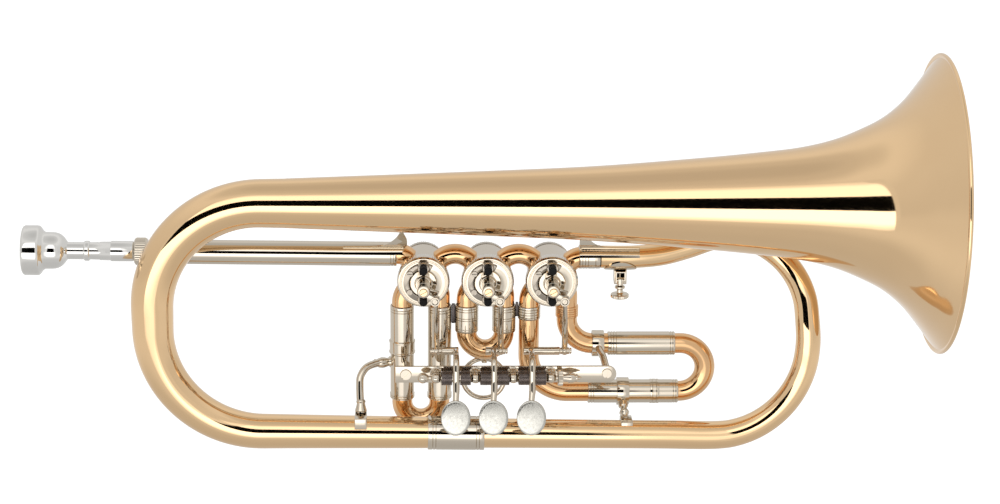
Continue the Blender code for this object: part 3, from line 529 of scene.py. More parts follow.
def make_front_cap(number, x):
    rim = [(11.8, 13.3), (12.3, 13.6, 0.22), (17.6, 13.6, 0.22), (18.0, 13.25), (18.5, 12.95), (18.6, 12.7)]
    face = [(18.6, 12.35), (18.35, 12.2), (18.35, 12.0), (18.6, 11.85), (18.6, 11.6), (18.35, 11.45),
            (18.35, 11.25), (18.6, 11.1)]
    hub = [(18.6, 7.3), (18.7, 7.05), (20.1, 6.9), (20.4, 6.6), (20.4, 4.7), (20.6, 4.35), (22.7, 4.2),
           (23.0, 3.9), (23.0, 2.0)]
    profile = rim + face + hub + [(16.8, 2.0), (16.8, 12.35), (11.8, 12.35)]
    shape = Shape().lathe(profile, (x, 0, 0), FRONT, 180, closed=True)
    shape.nickel(f"front_cap_{number}_turned", [f"front_cap_{number}"], sharp=28)


def make_rear_cap(number, x):
    profile = [(11.2, 9.9), (13.7, 9.9), (13.7, 11.3), (13.9, 11.7, 0.4), (16.5, 11.7, 0.4), (16.8, 11.3),
               (17.0, 11.1), (17.0, 8.4), (16.7, 8.2), (16.7, 7.6), (17.0, 7.4), (17.0, 2.4), (11.2, 2.4)]
    shape = Shape().lathe(profile, (x, 0, 0), Y_AXIS, 140, closed=True)
    shape.piece(f"rear_cap_{number}_turned", "root", "forged_nickel", [f"rear_cap_{number}"],
                slot="nickel_silver", sharp=28)


def make_rotor(number, x):
    shape = Shape()
    profile = [(-35.8, 1.1), (-35.55, 1.4), (-13.0, 1.5), (-13.0, 10.0), (10.6, 10.0), (10.6, 2.0),
               (14.7, 2.0), (14.7, 1.2)]
    shape.lathe(profile, (x, 0, 0), Y_AXIS, 48)
    slotted_screw(shape, (x, -35.3, 0), FRONT, 2.05, 0.9, 0.5)
    shape.piece(f"rotor_{number}_spindle", f"rotor_{number}", "lacquered_brass", [f"rotor_{number}"])


def sector(x, inner_r, outer_r, start, end, steps=16):
    angles = [radians(start + (end - start) * k / steps) for k in range(steps + 1)]
    outline = [(x + outer_r * cos(a), outer_r * sin(a)) for a in angles]
    return outline + [(x + inner_r * cos(a), inner_r * sin(a)) for a in reversed(angles)]


def make_stop_arm(number, x):
    shape = Shape()
    hub = [(23.4, 3.0), (23.6, 3.3), (29.6, 3.3), (29.9, 2.95), (30.2, 2.95), (30.5, 3.3), (34.6, 3.3),
           (35.1, 2.9), (35.2, 1.9), (23.4, 1.9)]
    shape.lathe(hub, (x, 0, 0), FRONT, 56, closed=True)
    shape.slab(sector(x, 2.6, 8.6, -70.5, -19.5), -26.1, -23.9, 0.35)
    eye = (x + EYE_R * cos(EYE_ANGLE), EYE_R * sin(EYE_ANGLE))
    arm = [(x + 1.2, -2.8), (eye[0] - 1.5, eye[1] - 1.3), (eye[0] + 1.3, eye[1] + 1.5), (x + 2.8, -1.2)]
    shape.slab(arm, -34.3, -32.7, 0.3)
    boss = [(32.4, 2.3), (32.6, 2.5), (34.2, 2.5), (34.5, 2.3), (34.5, 1.75), (34.2, 1.6), (32.4, 1.6)]
    shape.lathe(boss, (eye[0], 0, eye[1]), FRONT, 40, closed=True)
    slotted_screw(shape, (eye[0], -33.6, eye[1]), FRONT, 1.5, 0.75, 0.9, 28)
    shape.piece(f"stop_arm_{number}_forging", f"rotor_{number}", "forged_nickel",
                [f"stop_arm_{number}"], "nickel_silver", sharp=30)


def make_bumpers(number, x):
    shape = Shape()
    shape.slab(sector(x, 7.35, 10.3, 62, 298, 48), -20.0, -18.75, 0.3)
    for z in (-8.4, 8.4):
        shape.lathe([(18.9, 2.9), (19.1, 3.1), (21.2, 3.1), (21.6, 2.7), (21.6, 2.0), (18.9, 2.0)],
                    (x, 0, z), FRONT, 36, closed=True)
    for angle in (radians(143), radians(214)):
        centre = (x + 8.6 * cos(angle), -19.9, 8.6 * sin(angle))
        slotted_screw(shape, centre, FRONT, 1.6, 0.9, 0.7 + angle, 28)
    # The plate's darkened nickel is painted shade.
    shape.piece(f"bumper_plate_{number}", "root", "bumper_nickel_painted_shade", slot="nickel_silver", sharp=30)
    pegs = Shape()
    for z in (-8.4, 8.4):
        pegs.lathe([(20.8, 2.0), (26.2, 2.1), (26.65, 1.8), (26.8, 1.2)], (x, 0, z), FRONT, 32)
    pegs.piece(f"bumper_pegs_{number}", "root", "black_rubber", [f"bumpers_{number}"])


def make_valves():
    for number, x in enumerate(VALVE_X, start=1):
        make_front_cap(number, x)
        make_rear_cap(number, x)
        make_rotor(number, x)
        make_stop_arm(number, x)
        make_bumpers(number, x)


# ---- valve slides

def bands(name, centre, axis, items, look="nickel_silver"):
    """Turned bands round a tube: each is (low, high, radius, grooves)."""
    shape = Shape()
    for low, high, radius, grooves in items:
        profile = groove_band(low, high, radius, grooves)
        shape.lathe(profile + [(high, radius - 1.2), (low, radius - 1.2)], centre, axis, 64, closed=True)
    return shape.piece(name, "root", look)


def make_elbow(slide, side, valve_x, leg_x):
    points = leg_elbow(valve_x, leg_x) + [Vector((leg_x, 0, -18.6))]
    pipe(f"slide_{slide}_elbow_{side}", "root", points, LEG_R)


def make_u_bow(slide, legs, top_z, bend_z, gap, steps):
    """The inner bow of a hanging slide: two legs from top_z and a half circle below bend_z."""
    left, right = legs
    half = 0.5 * (right - left)
    points = line((left, 0, top_z), (left, 0, bend_z + gap), steps)
    points += arc(left + half, bend_z, half, 180, 360, 40)
    points += line((right, 0, bend_z - gap), (right, 0, top_z), steps)[1:]
    pipe(f"slide_{slide}_bow_tube", f"slide_{slide}", points, SLIDE_R, [f"slide_{slide}_bow"])


def make_leg_sleeve(slide, side, leg_x, profile, low, high):
    shape = Shape().lathe(profile + [(high, 5.6), (low, 5.6)], (leg_x, 0, 0), DOWN, 64, closed=True)
    shape.nickel(f"slide_{slide}_sleeve_{side}", [f"slide_{slide}_leg_{side}"],
                sharp=28)


def make_slide_1():
    low, high = 18.2, 69.7
    collar = [(37.0, 6.25), (37.4, 6.6), (37.7, 6.9), (38.4, 6.9), (38.6, 6.65), (43.4, 6.65), (43.6, 6.9),
              (44.2, 6.9), (44.6, 6.5), (44.9, 6.25)]
    rings_low = [(66.9, 6.25), (67.0, 6.5), (67.5, 6.5), (67.7, 6.1), (67.9, 6.5), (68.4, 6.5), (68.6, 6.1),
                 (68.8, 6.5), (69.3, 6.5)]
    for side, leg in zip(("left", "right"), SLIDE_1_X):
        make_elbow(1, side, VALVE_X[0], leg)
        profile = groove_band(low, high, SLEEVE_R - 0.15, (19.8, 21.2), half=0.25)
        profile[-3:-3] = (collar if side == "left" else []) + rings_low
        make_leg_sleeve(1, side, leg, profile, low, high)
    make_u_bow(1, SLIDE_1_X, -36.0, -72.0, 1.0, 8)


def make_slide_2():
    low, high = 18.0, 32.4
    for side, leg in zip(("left", "right"), SLIDE_2_X):
        make_elbow(2, side, VALVE_X[1], leg)
        profile = groove_band(low, high, 6.2, (19.2, 20.6, 24.2, 25.4, 30.4, 31.4))
        make_leg_sleeve(2, side, leg, profile, low, high)
    make_u_bow(2, SLIDE_2_X, -20.0, -33.2, 0.6, 4)
    make_pull_ring()


def make_pull_ring():
    count = 96
    circle = arc(-1.6, -59.2, 11.0, 0, 360, count)[:-1]
    shape = Shape().rows(rings(circle, [1.3] * count, 24, Y_AXIS, 1.0), wrap_rows=True)
    shape.lathe([(47.2, 2.6), (47.8, 2.2), (49.0, 1.7), (50.2, 1.5)], (-1.3, 0, 0), DOWN, 32)
    shape.piece("pull_ring_wire", "slide_2", "nickel_silver", slot="nickel_silver")


def make_slide_3():
    valve = VALVE_X[2]
    left, right = SLIDE_3_X
    low, high = SLIDE_3_LOWER_Z, SLIDE_3_UPPER_Z
    points = leg_elbow(valve, left) + line((left, 0, -17.9), (left, 0, -44.0), 6)
    points += arc(left + 21.0, -45.5, 21.0, 180, 270, 30) + line((46.0, 0, low), (56.0, 0, low), 2)
    pipe("slide_3_lower_tube", "root", points, LEG_R, ["slide_3_leg_lower"])
    points = leg_elbow(valve, right) + line((right, 0, -17.9), (right, 0, -25.0), 2)
    points += arc(right + 14.0, -25.6, 14.0, 180, 270, 24) + line((58.0, 0, high), (66.0, 0, high), 2)
    pipe("slide_3_upper_tube", "root", points, LEG_R, ["slide_3_leg_upper"])
    bands("slide_3_top_collars", (left, 0, 0), DOWN, [(18.2, 25.3, 6.0, (19.6, 21.0, 22.4, 23.8))])
    bands("slide_3_side_collar", (right, 0, 0), DOWN, [(18.2, 24.3, 6.0, (19.4, 20.6, 21.8, 23.0))],
          "gold_brass")
    bands("slide_3_upper_sleeve", (0, 0, high), X_AXIS,
          [(63.7, 99.2, 6.25, (65.2, 66.6, 68.0, 96.6, 97.8))])
    bands("slide_3_lower_sleeve", (0, 0, low), X_AXIS,
          [(53.7, 101.6, 6.25, (55.2, 56.6, 98.9, 100.2)), (86.6, 91.4, 6.55, (87.9, 90.0))])
    half = 0.5 * (high - low)
    points = line((68.0, 0, low), (101.8, 0, low), 6) + arc(102.2, low + half, half, -90, 90, 40)
    points += line((101.8, 0, high), (68.0, 0, high), 6)
    pipe("slide_3_bow_tube", "slide_3", points, SLIDE_R, ["slide_3_bow"])


def make_spacers_painted_shade():
    # The blocks fill the gaps between neighbouring sleeves; their near-black nickel is painted shade.
    shape = Shape().box((-18.7, -1.2, -28.0), (-17.0, 1.2, -17.6), 0.2)
    shape.box((14.9, -1.2, -24.2), (16.2, 1.2, -16.8), 0.2)
    shape.piece("slide_spacers_painted_shade", "root", "gap_nickel_painted_shade", slot="nickel_silver")


# ---- lever work

POST_X = (-27.1, -6.7, 12.9, 32.4)
LEVER_X = (-16.7, 2.9, 22.6)
FINGER_X = (-17.0, 2.4, 21.9)
BALL_Y, BALL_Z = -11.0, -40.0
BALL_X = (-26.6, 6.9, 40.4)
LINK_BARREL_X = ((-24.0, -15.2), (-1.1, 4.4), (18.8, 37.9))


def make_rack():
    z, half = -48.9, 4.5
    outline = [(-48.2, z - half), (62.5, z - half)]
    outline += [(p.x, p.z) for p in arc(62.5, z, half, -80, 80, 20)]
    outline += [(62.5, z + half), (-48.2, z + half)]
    shape = Shape().slab(outline, -22.7, -21.2, 0.3)
    shape.lathe([(7.0, 2.0), (19.5, 2.0), (20.6, 2.6), (21.3, 2.9)], (-42.7, 0, z), FRONT, 40)
    slotted_screw(shape, (-42.7, -22.6, z), FRONT, 3.0, 0.9, 0.8)
    slotted_screw(shape, (62.0, -22.6, z + 0.6), FRONT, 2.7, 0.9, 1.4)
    strut = [(62.3, -21.6, z + 1.5), (61.6, -18.5, -46.0), (60.6, -13.0, -43.0), (59.2, -8.0, -41.0),
             (58.5, -6.0, -40.0)]
    shape.tube(smooth(strut, 6), 1.9, 28, up=X_AXIS)
    clamp = groove_band(55.3, 61.7, 7.0) + [(61.7, 5.6), (55.3, 5.6)]
    shape.lathe(clamp, (0, 0, SLIDE_3_UPPER_Z), X_AXIS, 64, closed=True)
    shape.nickel("rack_plate_bar", ["rack_plate"], sharp=30)
    make_hinge_posts()


def ball_profile(half_length, radius):
    """Half an oval in 16 steps, for a turned ball."""
    angles = [pi * k / 16 for k in range(17)]
    return [(-half_length * cos(a), radius * sin(a) + 0.02) for a in angles]


def make_hinge_posts():
    stem = [(22.5, 3.1), (23.2, 3.2), (23.6, 2.6), (24.4, 2.2), (25.6, 1.9), (28.6, 1.85), (29.2, 2.2)]
    shape = Shape()
    for x in POST_X:
        shape.lathe(stem, (x, 0, SHAFT_Z), FRONT, 40)
        shape.lathe(ball_profile(2.75, 2.85), (x, SHAFT_Y, SHAFT_Z), Z_AXIS, 40)
    shape.nickel("hinge_posts")


def make_hinge_rod():
    outline = [(-36.9, 0.5), (-36.4, 1.3), (-35.4, 2.4), (-34.2, 2.85), (-33.0, 2.7), (-31.8, 1.9),
               (-31.2, 1.5), (-30.9, 1.1), (35.7, 1.1), (35.8, 3.6), (36.1, 4.0), (36.4, 4.1, 0.35),
               (38.2, 4.1, 0.35), (38.5, 3.9), (38.7, 2.0), (39.6, 1.9), (41.2, 2.6), (42.6, 2.85),
               (44.0, 2.6), (45.3, 1.9), (45.9, 2.1), (46.3, 1.5), (47.2, 1.0), (48.3, 0.4)]
    Shape().lathe(outline, (0, SHAFT_Y, SHAFT_Z), X_AXIS, 60).nickel(
        "hinge_rod_turned", ["hinge_rod"])


def make_lever(number):
    x, finger_x = LEVER_X[number - 1], FINGER_X[number - 1]
    body = f"lever_{number}"
    low, high = POST_X[number - 1] + 3.1, POST_X[number] - 3.1
    shape = Shape()
    shape.lathe([(low, 2.1), (low + 0.2, 2.3), (high - 0.2, 2.3), (high, 2.1), (high, 1.5), (low, 1.5)],
                (0, SHAFT_Y, SHAFT_Z), X_AXIS, 40, closed=True)
    route = [(finger_x, -42.4, -64.6), (finger_x, -41.2, -61.6), (0.7 * finger_x + 0.3 * x, -38.9, -57.2),
             (x, -36.4, -52.6), (x, -34.9, SHAFT_Z), (x, -34.3, SHAFT_Z + 4.8), (x, -32.6, SHAFT_Z + 8.9),
             (x, -29.0, SHAFT_Z + 10.9), (x, -24.0, SHAFT_Z + 11.2), (x, -17.5, SHAFT_Z + 9.8),
             (x, BALL_Y - 0.7, BALL_Z + 0.3)]
    points = smooth(route, 8)
    radii = taper(points, ((0.0, 1.75), (0.16, 1.55), (0.3, 1.75), (0.5, 1.7), (0.7, 1.45), (1.0, 1.4)))
    shape.tube(points, radii, 32, up=X_AXIS, rounded=True)
    start, end = LINK_BARREL_X[number - 1]
    barrel = [(start, 1.8), (start + 0.3, 2.15), (end - 0.3, 2.15), (end, 1.8)]
    shape.lathe(barrel, (0, BALL_Y, BALL_Z), X_AXIS, 40)
    ball_x = BALL_X[number - 1]
    side = 1.0 if ball_x > start else -1.0
    root_end = end if side > 0 else start
    pin = sorted([(root_end - side, 0.85), (ball_x + side * 2.6, 0.85)])
    shape.lathe(pin, (0, BALL_Y, BALL_Z), X_AXIS, 24)
    head = sorted([(ball_x + side * 2.6, 1.6), (ball_x + side * 3.3, 1.6), (ball_x + side * 3.6, 1.3)])
    shape.lathe(head, (0, BALL_Y, BALL_Z), X_AXIS, 32)
    shape.piece(f"lever_{number}_arm", body, "nickel_silver", [body], sharp=30)
    make_finger_plate(number, body)


def make_finger_plate(number, body):
    """Oval plate: shallow dish in front and a rolled rim."""
    tilt = radians(12.0)
    normal = Vector((0.0, -cos(tilt), sin(tilt)))
    profile = [(-0.55, 8.7), (-0.3, 9.0), (0.05, 9.15), (0.4, 9.1), (0.65, 8.75)]
    profile += [(0.65 + 0.35 * (1 - (r / 8.75) ** 2), r) for r in (7.5, 6.0, 4.5, 3.0, 1.5, 0.4)]
    shape = Shape().lathe(profile, (0, 0, 0), Z_AXIS, 96)
    turn = Z_AXIS.rotation_difference(normal).to_matrix().to_4x4()
    narrow = Matrix.Diagonal((0.83, 1.0, 1.0, 1.0))
    move = Matrix.Translation((FINGER_X[number - 1], -44.0, -65.0)) @ turn @ narrow
    shape.verts = [move @ v for v in shape.verts]
    shape.piece(f"finger_plate_{number}_oval", body, "pearl_silver", [f"finger_plate_{number}"],
                slot="silver_plate", sharp=50)


COIL_R, COIL_PITCH = 3.5, 0.6
COIL_X = (((-24.3, -18.9), (-14.6, -9.3)), ((-4.2, 1.3), (4.7, 10.6)), ((15.6, 21.0), (24.4, 29.9)))


def make_spring(number):
    """Two tight coils of wire round the barrel, each side of the lever's arm."""
    shape = Shape()
    for start, end in COIL_X[number - 1]:
        turns = (end - start) / COIL_PITCH
        count = int(turns * 28)
        points = []
        for k in range(count + 1):
            angle = tau * turns * k / count
            points.append(Vector((start + (end - start) * k / count,
                                  SHAFT_Y + COIL_R * sin(angle), SHAFT_Z + COIL_R * cos(angle))))
        shape.tube(points, 0.31, 8, up=X_AXIS)
    shape.piece(f"lever_spring_{number}_coil", "root", "spring_steel", [f"lever_spring_{number}"], sharp=60)


def make_link_rod(number):
    ball_x = BALL_X[number - 1]
    eye_x = VALVE_X[number - 1] + EYE_R * cos(EYE_ANGLE) + EYE_SLIP
    eye_z = EYE_R * sin(EYE_ANGLE)
    foot, head = Vector((ball_x, BALL_Y, BALL_Z)), Vector((eye_x, -30.3, eye_z))
    shape = Shape()
    shape.lathe(ball_profile(2.1, 2.25), foot, X_AXIS, 40)
    barrel = [(-2.4, 1.3), (-2.4, 1.7), (-1.9, 1.8), (1.9, 1.8), (2.4, 1.7), (2.4, 1.3)]
    shape.lathe(barrel, foot, X_AXIS, 36)
    points = line(foot, head, 24)
    radii = taper(points, ((0.0, 1.35), (0.08, 1.55), (0.45, 1.5), (0.85, 1.2), (1.0, 1.15)))
    shape.tube(points, radii, 28, up=X_AXIS, flat=0.62)
    eye = [(29.4, 2.05), (29.55, 2.25), (31.05, 2.25), (31.2, 2.05), (31.2, 0.9), (29.4, 0.9)]
    shape.lathe(eye, (eye_x, 0, eye_z), FRONT, 36, closed=True)
    shape.piece(f"link_rod_{number}_shank", f"rod_{number}", "nickel_silver", [f"link_rod_{number}"],
                sharp=34)


def make_levers():
    make_rack()
    make_hinge_rod()
    for number in (1, 2, 3):
        make_lever(number)
        make_spring(number)
        make_link_rod(number)


# ---- mouthpipe end

def lead_point(distance):
    return LEAD_END + LEAD_DIR * distance


def make_leadpipe():
    start = lead_point(0)
    profile = groove_band(0.3, 120.4, SLEEVE_R, (1.9, 3.3))
    profile[-3:-3] = [(115.0, 6.4), (115.2, 6.55), (118.6, 6.55), (118.8, 6.3), (119.0, 6.55)]
    Shape().lathe(profile + [(120.4, 5.7), (0.3, 5.7)], start, LEAD_DIR, 64, closed=True).nickel(
        "leadpipe_sleeve_tube", ["leadpipe_sleeve"])
    outer = [(24.0, 5.4), (129.1, 5.4), (129.6, 6.6), (130.2, 7.0), (130.6, 7.2, 0.28), (135.2, 7.2, 0.28),
             (135.6, 7.0), (136.2, 6.4)]
    inner = [(136.2, 5.0), (118.5, 5.0), (118.0, 4.7), (24.0, 4.7)]
    Shape().lathe(outer + inner, start, LEAD_DIR, 88, closed=True).piece(
        "mouthpipe_receiver", "mouthpipe", "nickel_silver", ["mouthpipe"])


def make_mouthpiece():
    shank = [(121.2, 4.1), (121.4, 4.3), (136.3, 4.5), (136.8, 5.0), (137.2, 5.3), (148.2, 5.35),
             (148.6, 4.95), (153.9, 4.85), (154.3, 4.6), (159.3, 4.5)]
    bead = [(159.5, 5.0), (159.9, 5.25), (161.8, 5.25), (162.2, 5.0), (162.4, 4.5), (170.8, 4.5)]
    cup = [(171.6, 5.6), (172.7, 7.1), (173.8, 8.1), (175.2, 8.9), (176.6, 9.35), (178.0, 9.55),
           (182.2, 9.6)]
    rim = [(183.4, 10.5), (184.6, 12.2), (185.2, 12.8), (186.4, 13.0), (192.6, 13.0), (193.4, 12.6),
           (193.85, 11.9), (193.98, 10.9), (193.8, 10.0), (193.2, 9.2)]
    inner = [(191.5, 8.6), (187.5, 8.0), (184.0, 7.0), (180.5, 5.6), (177.5, 4.0), (175.0, 2.6),
             (172.5, 2.0), (150.0, 2.6), (121.2, 3.6)]
    Shape().lathe(shank + bead + cup + rim + inner, lead_point(0), LEAD_DIR, 96, closed=True).piece(
        "mouthpiece_turned", "mouthpiece", "silver_plate", ["mouthpiece"], sharp=45)


# ---- holding pieces

def saddle(name, node, stations, tube_z, reach, bulge):
    """A thin curved sheet that hugs a tube and sweeps up to the bell at one end.

    Stations are (x, share of the section that the sheet covers there). The end that
    rises bulges outwards half way up.
    """
    section = [(reach * cos(radians(a)), tube_z + reach * sin(radians(a)))
               for a in (168, 161, 154, 146, 138, 130)]
    section += [(-7.2, 17.0), (-8.6, 20.6), (-10.6, 24.5), (-12.0, 27.6)]
    section = smooth(section, 6)
    lengths = [0.0]
    for first, second in zip(section, section[1:]):
        lengths.append(lengths[-1] + dist(first, second))

    def at(share):
        target = share * lengths[-1]
        k = next(i for i in range(1, len(lengths)) if lengths[i] >= target - 1e-9)
        part = (target - lengths[k - 1]) / (lengths[k] - lengths[k - 1])
        first, second = section[k - 1], section[k]
        y, z = (first[i] + (second[i] - first[i]) * part for i in range(2))
        run = Vector((0, second[1] - first[1], first[0] - second[0])).normalized()
        return Vector((0, y, z)), run

    rows = []
    for x, share in smooth(stations, 6):
        front, back = [], []
        for i in range(31):
            height = min(1.0, share) * i / 30
            point, normal = at(height)
            grown = min(1.0, max(0.0, (share - 0.4) / 0.6))
            point = point + Vector((x + bulge * grown * sin(pi * height) ** 2, 0, 0))
            front.append(point - normal * 0.55)
            back.append(point)
        rows.append(front + back[::-1])
    return Shape().rows(rows).nickel(name, [node], sharp=45)


LEAD_SADDLE = ((-75.2, 0.33), (-60.0, 0.35), (-54.0, 0.42), (-50.0, 0.56), (-47.0, 0.78), (-44.6, 1.0))
OUTLET_SADDLE = ((49.0, 1.0), (51.0, 0.78), (54.0, 0.56), (58.0, 0.42), (64.0, 0.35), (79.0, 0.33))


def make_left_brace():
    shape = Shape()
    top = bottom_z(-66.3)
    route = [(-51.0, 0.0, -50.0), (-55.0, -1.5, -49.6), (-59.4, -3.6, -49.7), (-63.8, -6.8, -50.9),
             (-66.5, -9.6, -54.6), (-66.9, -11.6, -58.6), (-66.7, -14.0, -65.0), (-66.3, -16.4, -72.4)]
    shape.tube(smooth(route, 8), 2.0, 32, up=X_AXIS)
    knob = [(-0.8, 3.0), (0.6, 3.0), (1.0, 2.5), (1.8, 2.2), (3.4, 2.7), (5.0, 2.9), (6.6, 2.6), (8.0, 2.0),
            (8.6, 2.3), (9.2, 2.2), (9.6, 1.6)]
    shape.lathe(knob, (-50.6, 0.3, -49.9), (-1, -0.36, 0.02), 40)
    direction = Vector((0, -2.4, -7.4)).normalized()
    cone = [(-6.0, 2.0), (-5.4, 2.4), (-4.8, 2.5), (-4.2, 2.2), (-3.0, 2.4), (-1.0, 3.0), (0.0, 3.15),
            (0.4, 2.8)]
    shape.lathe(cone, (-66.3, -16.4, -71.4), direction, 40)
    shape.box((-69.5, -26.4, top + 4.4), (-63.1, -14.4, top + 10.4), 0.5)
    shape.nickel("left_brace_rod", ["left_brace"], sharp=32)


def make_right_brace():
    ring = groove_band(69.0, 75.5, 7.4) + [(75.5, 6.3), (69.0, 6.3)]
    shape = Shape().lathe(ring, (0, 0, SLIDE_3_LOWER_Z), X_AXIS, 64, closed=True)
    start, end = Vector((72.2, -5.4, -71.0)), Vector((73.3, -15.6, -79.2))
    length = (end - start).length
    post = [(0.0, 2.7), (2.4, 2.6), (3.0, 1.9), (4.2, 1.7), (5.2, 2.3), (6.2, 2.7), (7.2, 2.3), (8.4, 1.7),
            (9.6, 1.8), (10.6, 2.5), (length, 2.9)]
    shape.lathe(post, start, end - start, 40)
    shape.box((70.1, -22.2, -80.6), (76.5, -11.0, -75.9), 0.6)
    shape.nickel("right_brace_post", ["right_brace"], sharp=32)


LYRE_X = 69.4


def ring_arc(x, centre, radius, angles):
    """Points round a centre (y, z), in the plane at x."""
    y, z = centre
    return [Vector((x, y + radius * cos(a), z + radius * sin(a))) for a in angles]


def lyre_strap():
    """A round-ended strap bent round the tube, thicker towards its middle."""
    half, centre = 8.6, (0.4, 8.1)
    rows = []
    for k in range(25):
        along = -half + 2 * half * k / 24
        edge = sqrt(max(0.0, 1.0 - (along / half) ** 2))
        reach = 10 + 62 * edge
        angles = [radians(262 - reach + 2 * reach * i / 16) for i in range(17)]
        outer = ring_arc(LYRE_X + along, centre, 6.15 + (0.35 + 0.5 * edge), angles)
        inner = ring_arc(LYRE_X + along, centre, 6.1, angles)
        rows.append(outer + inner[::-1])
    return rows


def lyre_frame():
    """The square collar in front of the block, open all the way to its back."""
    outer, inner, front, back, middle = 2.65, 2.05, -5.4, 3.4, -1.05
    section = ((outer, front + 0.25), (outer - 0.25, front), (inner, front), (inner, back), (outer, back))
    return [[Vector((LYRE_X + sx * half, y, middle + sz * half)) for sx, sz in CORNERS]
            for half, y in section]


def make_lyre_socket():
    x, low, high = LYRE_X, -5.7, 1.8
    shape = Shape().rows(lyre_strap())
    shape.box((x - 3.3, -4.0, low), (x - 2.4, 4.3, high))
    shape.box((x + 2.4, -4.0, low), (x + 3.3, 4.3, high))
    shape.box((x - 2.6, 3.3, low), (x + 2.6, 4.3, high))
    shape.box((x - 2.6, -4.1, low), (x + 2.6, 4.2, -3.2))
    shape.rows(lyre_frame(), wrap_rows=True)
    shape.lathe([(2.6, 1.6), (2.6, 1.95), (5.5, 1.95), (5.7, 1.6)], (x, -3.6, 0), DOWN, 32)
    shape.nickel("lyre_socket_block", ["lyre_socket"], sharp=30)
    outline = [(-13.4, 4.4), (-13.1, 4.8, 0.16), (-11.7, 4.8, 0.16), (-11.4, 4.4), (-11.1, 2.4),
               (-10.4, 1.7), (-9.0, 1.6), (-8.5, 2.0), (-8.2, 2.7), (-7.3, 2.7), (-7.0, 2.2), (-6.7, 1.3),
               (-4.5, 1.3)]
    Shape().lathe(outline, (x, -2.0, 0), Z_AXIS, 72).piece(
        "lyre_thumbscrew_turned", "lyre_screw", "nickel_silver", ["lyre_thumbscrew"])


# ---- camera, light, floor

CAMERA_TILT, CAMERA_TURN = radians(17.0), radians(2.0)
CAMERA_AIM = Vector((6.4, 0.0, 10.8)) * MM
CAMERA_DISTANCE = 1.3
LENS, SENSOR = 89.64, 36.0
WORLD_LEVEL = 0.80
WALL_RADIANCE = 2.5
WALL_EDGE = WORLD_LEVEL / WALL_RADIANCE
WALL_LOW, WALL_HIGH = (-1.75, -0.77), (1.15, 2.15)
WALL_Y = -1.45
FLOOR_Z, FLOOR_SIDE = -0.80, 14.0


def make_camera():
    """Looks down at the instrument, level along its length."""
    tilt, turn = CAMERA_TILT, CAMERA_TURN
    forward = Vector((sin(turn) * cos(tilt), cos(turn) * cos(tilt), -sin(tilt)))
    right = Vector((cos(turn), -sin(turn), 0.0))
    up = right.cross(forward)
    roll = atan(tan(turn) * sin(tilt))
    level_right = right * cos(roll) + up * sin(roll)
    level_up = up * cos(roll) - right * sin(roll)
    data = bpy.data.cameras.new("camera")
    data.lens = LENS
    data.sensor_width = SENSOR
    camera = bpy.data.objects.new("camera", data)
    bpy.context.scene.collection.objects.link(camera)
    place = CAMERA_AIM - forward * CAMERA_DISTANCE
    basis = Matrix((level_right, level_up, -forward)).transposed().to_4x4()
    camera.matrix_world = Matrix.Translation(place) @ basis
    bpy.context.scene.camera = camera


def panel(name, corners, material):
    mesh = bpy.data.meshes.new(name)
    mesh.from_pydata(corners, [], [tuple(range(len(corners)))])
    mesh.materials.append(material)
    item = bpy.data.objects.new(name, mesh)
    bpy.context.scene.collection.objects.link(item)
    return item


def stops(tree, source, marks):
    """A grey ramp through (position, value) marks."""
    node = tree.nodes.new("ShaderNodeValToRGB")
    node.color_ramp.interpolation = "EASE"
    elements = node.color_ramp.elements
    elements[0].position, elements[1].position = marks[0][0], marks[-1][0]
    for position, _ in marks[1:-1]:
        elements.new(position)
    for element, (_, value) in zip(elements, marks):
        element.color = (value, value, value, 1.0)
    tree.links.new(source, node.inputs["Fac"])
    return node.outputs["Color"]


def axis_share(tree, source, axis, low, high):
    """Where a coordinate lies between low and high, from 0 to 1."""
    split = tree.nodes.new("ShaderNodeSeparateXYZ")
    tree.links.new(source, split.inputs["Vector"])
    node = tree.nodes.new("ShaderNodeMapRange")
    node.inputs["From Min"].default_value = low
    node.inputs["From Max"].default_value = high
    tree.links.new(split.outputs[axis], node.inputs["Value"])
    return node.outputs["Result"]


def wall_ramp(tree, where, axis, marks, edge=WALL_EDGE):
    """A grey ramp over the wall's width (axis 0) or height (1), through (metres, value) marks."""
    low, high = WALL_LOW[axis], WALL_HIGH[axis]
    share = axis_share(tree, where, "XZ"[axis], low, high)
    middle = [((place - low) / (high - low), value) for place, value in marks]
    return stops(tree, share, [(0.0, edge)] + middle + [(1.0, edge)])


def blend(tree, first, second, kind="MIX", factor=None):
    """Blend two colours in full, or by the factor where one is given."""
    node = tree.nodes.new("ShaderNodeMix")
    node.data_type = "RGBA"
    node.blend_type = kind
    node.inputs["Factor"].default_value = 1.0
    if factor is not None:
        tree.links.new(factor, node.inputs["Factor"])
    tree.links.new(first, node.inputs["A"])
    if isinstance(second, tuple):
        node.inputs["B"].default_value = second
    else:
        tree.links.new(second, node.inputs["B"])
    return node.outputs["Result"]


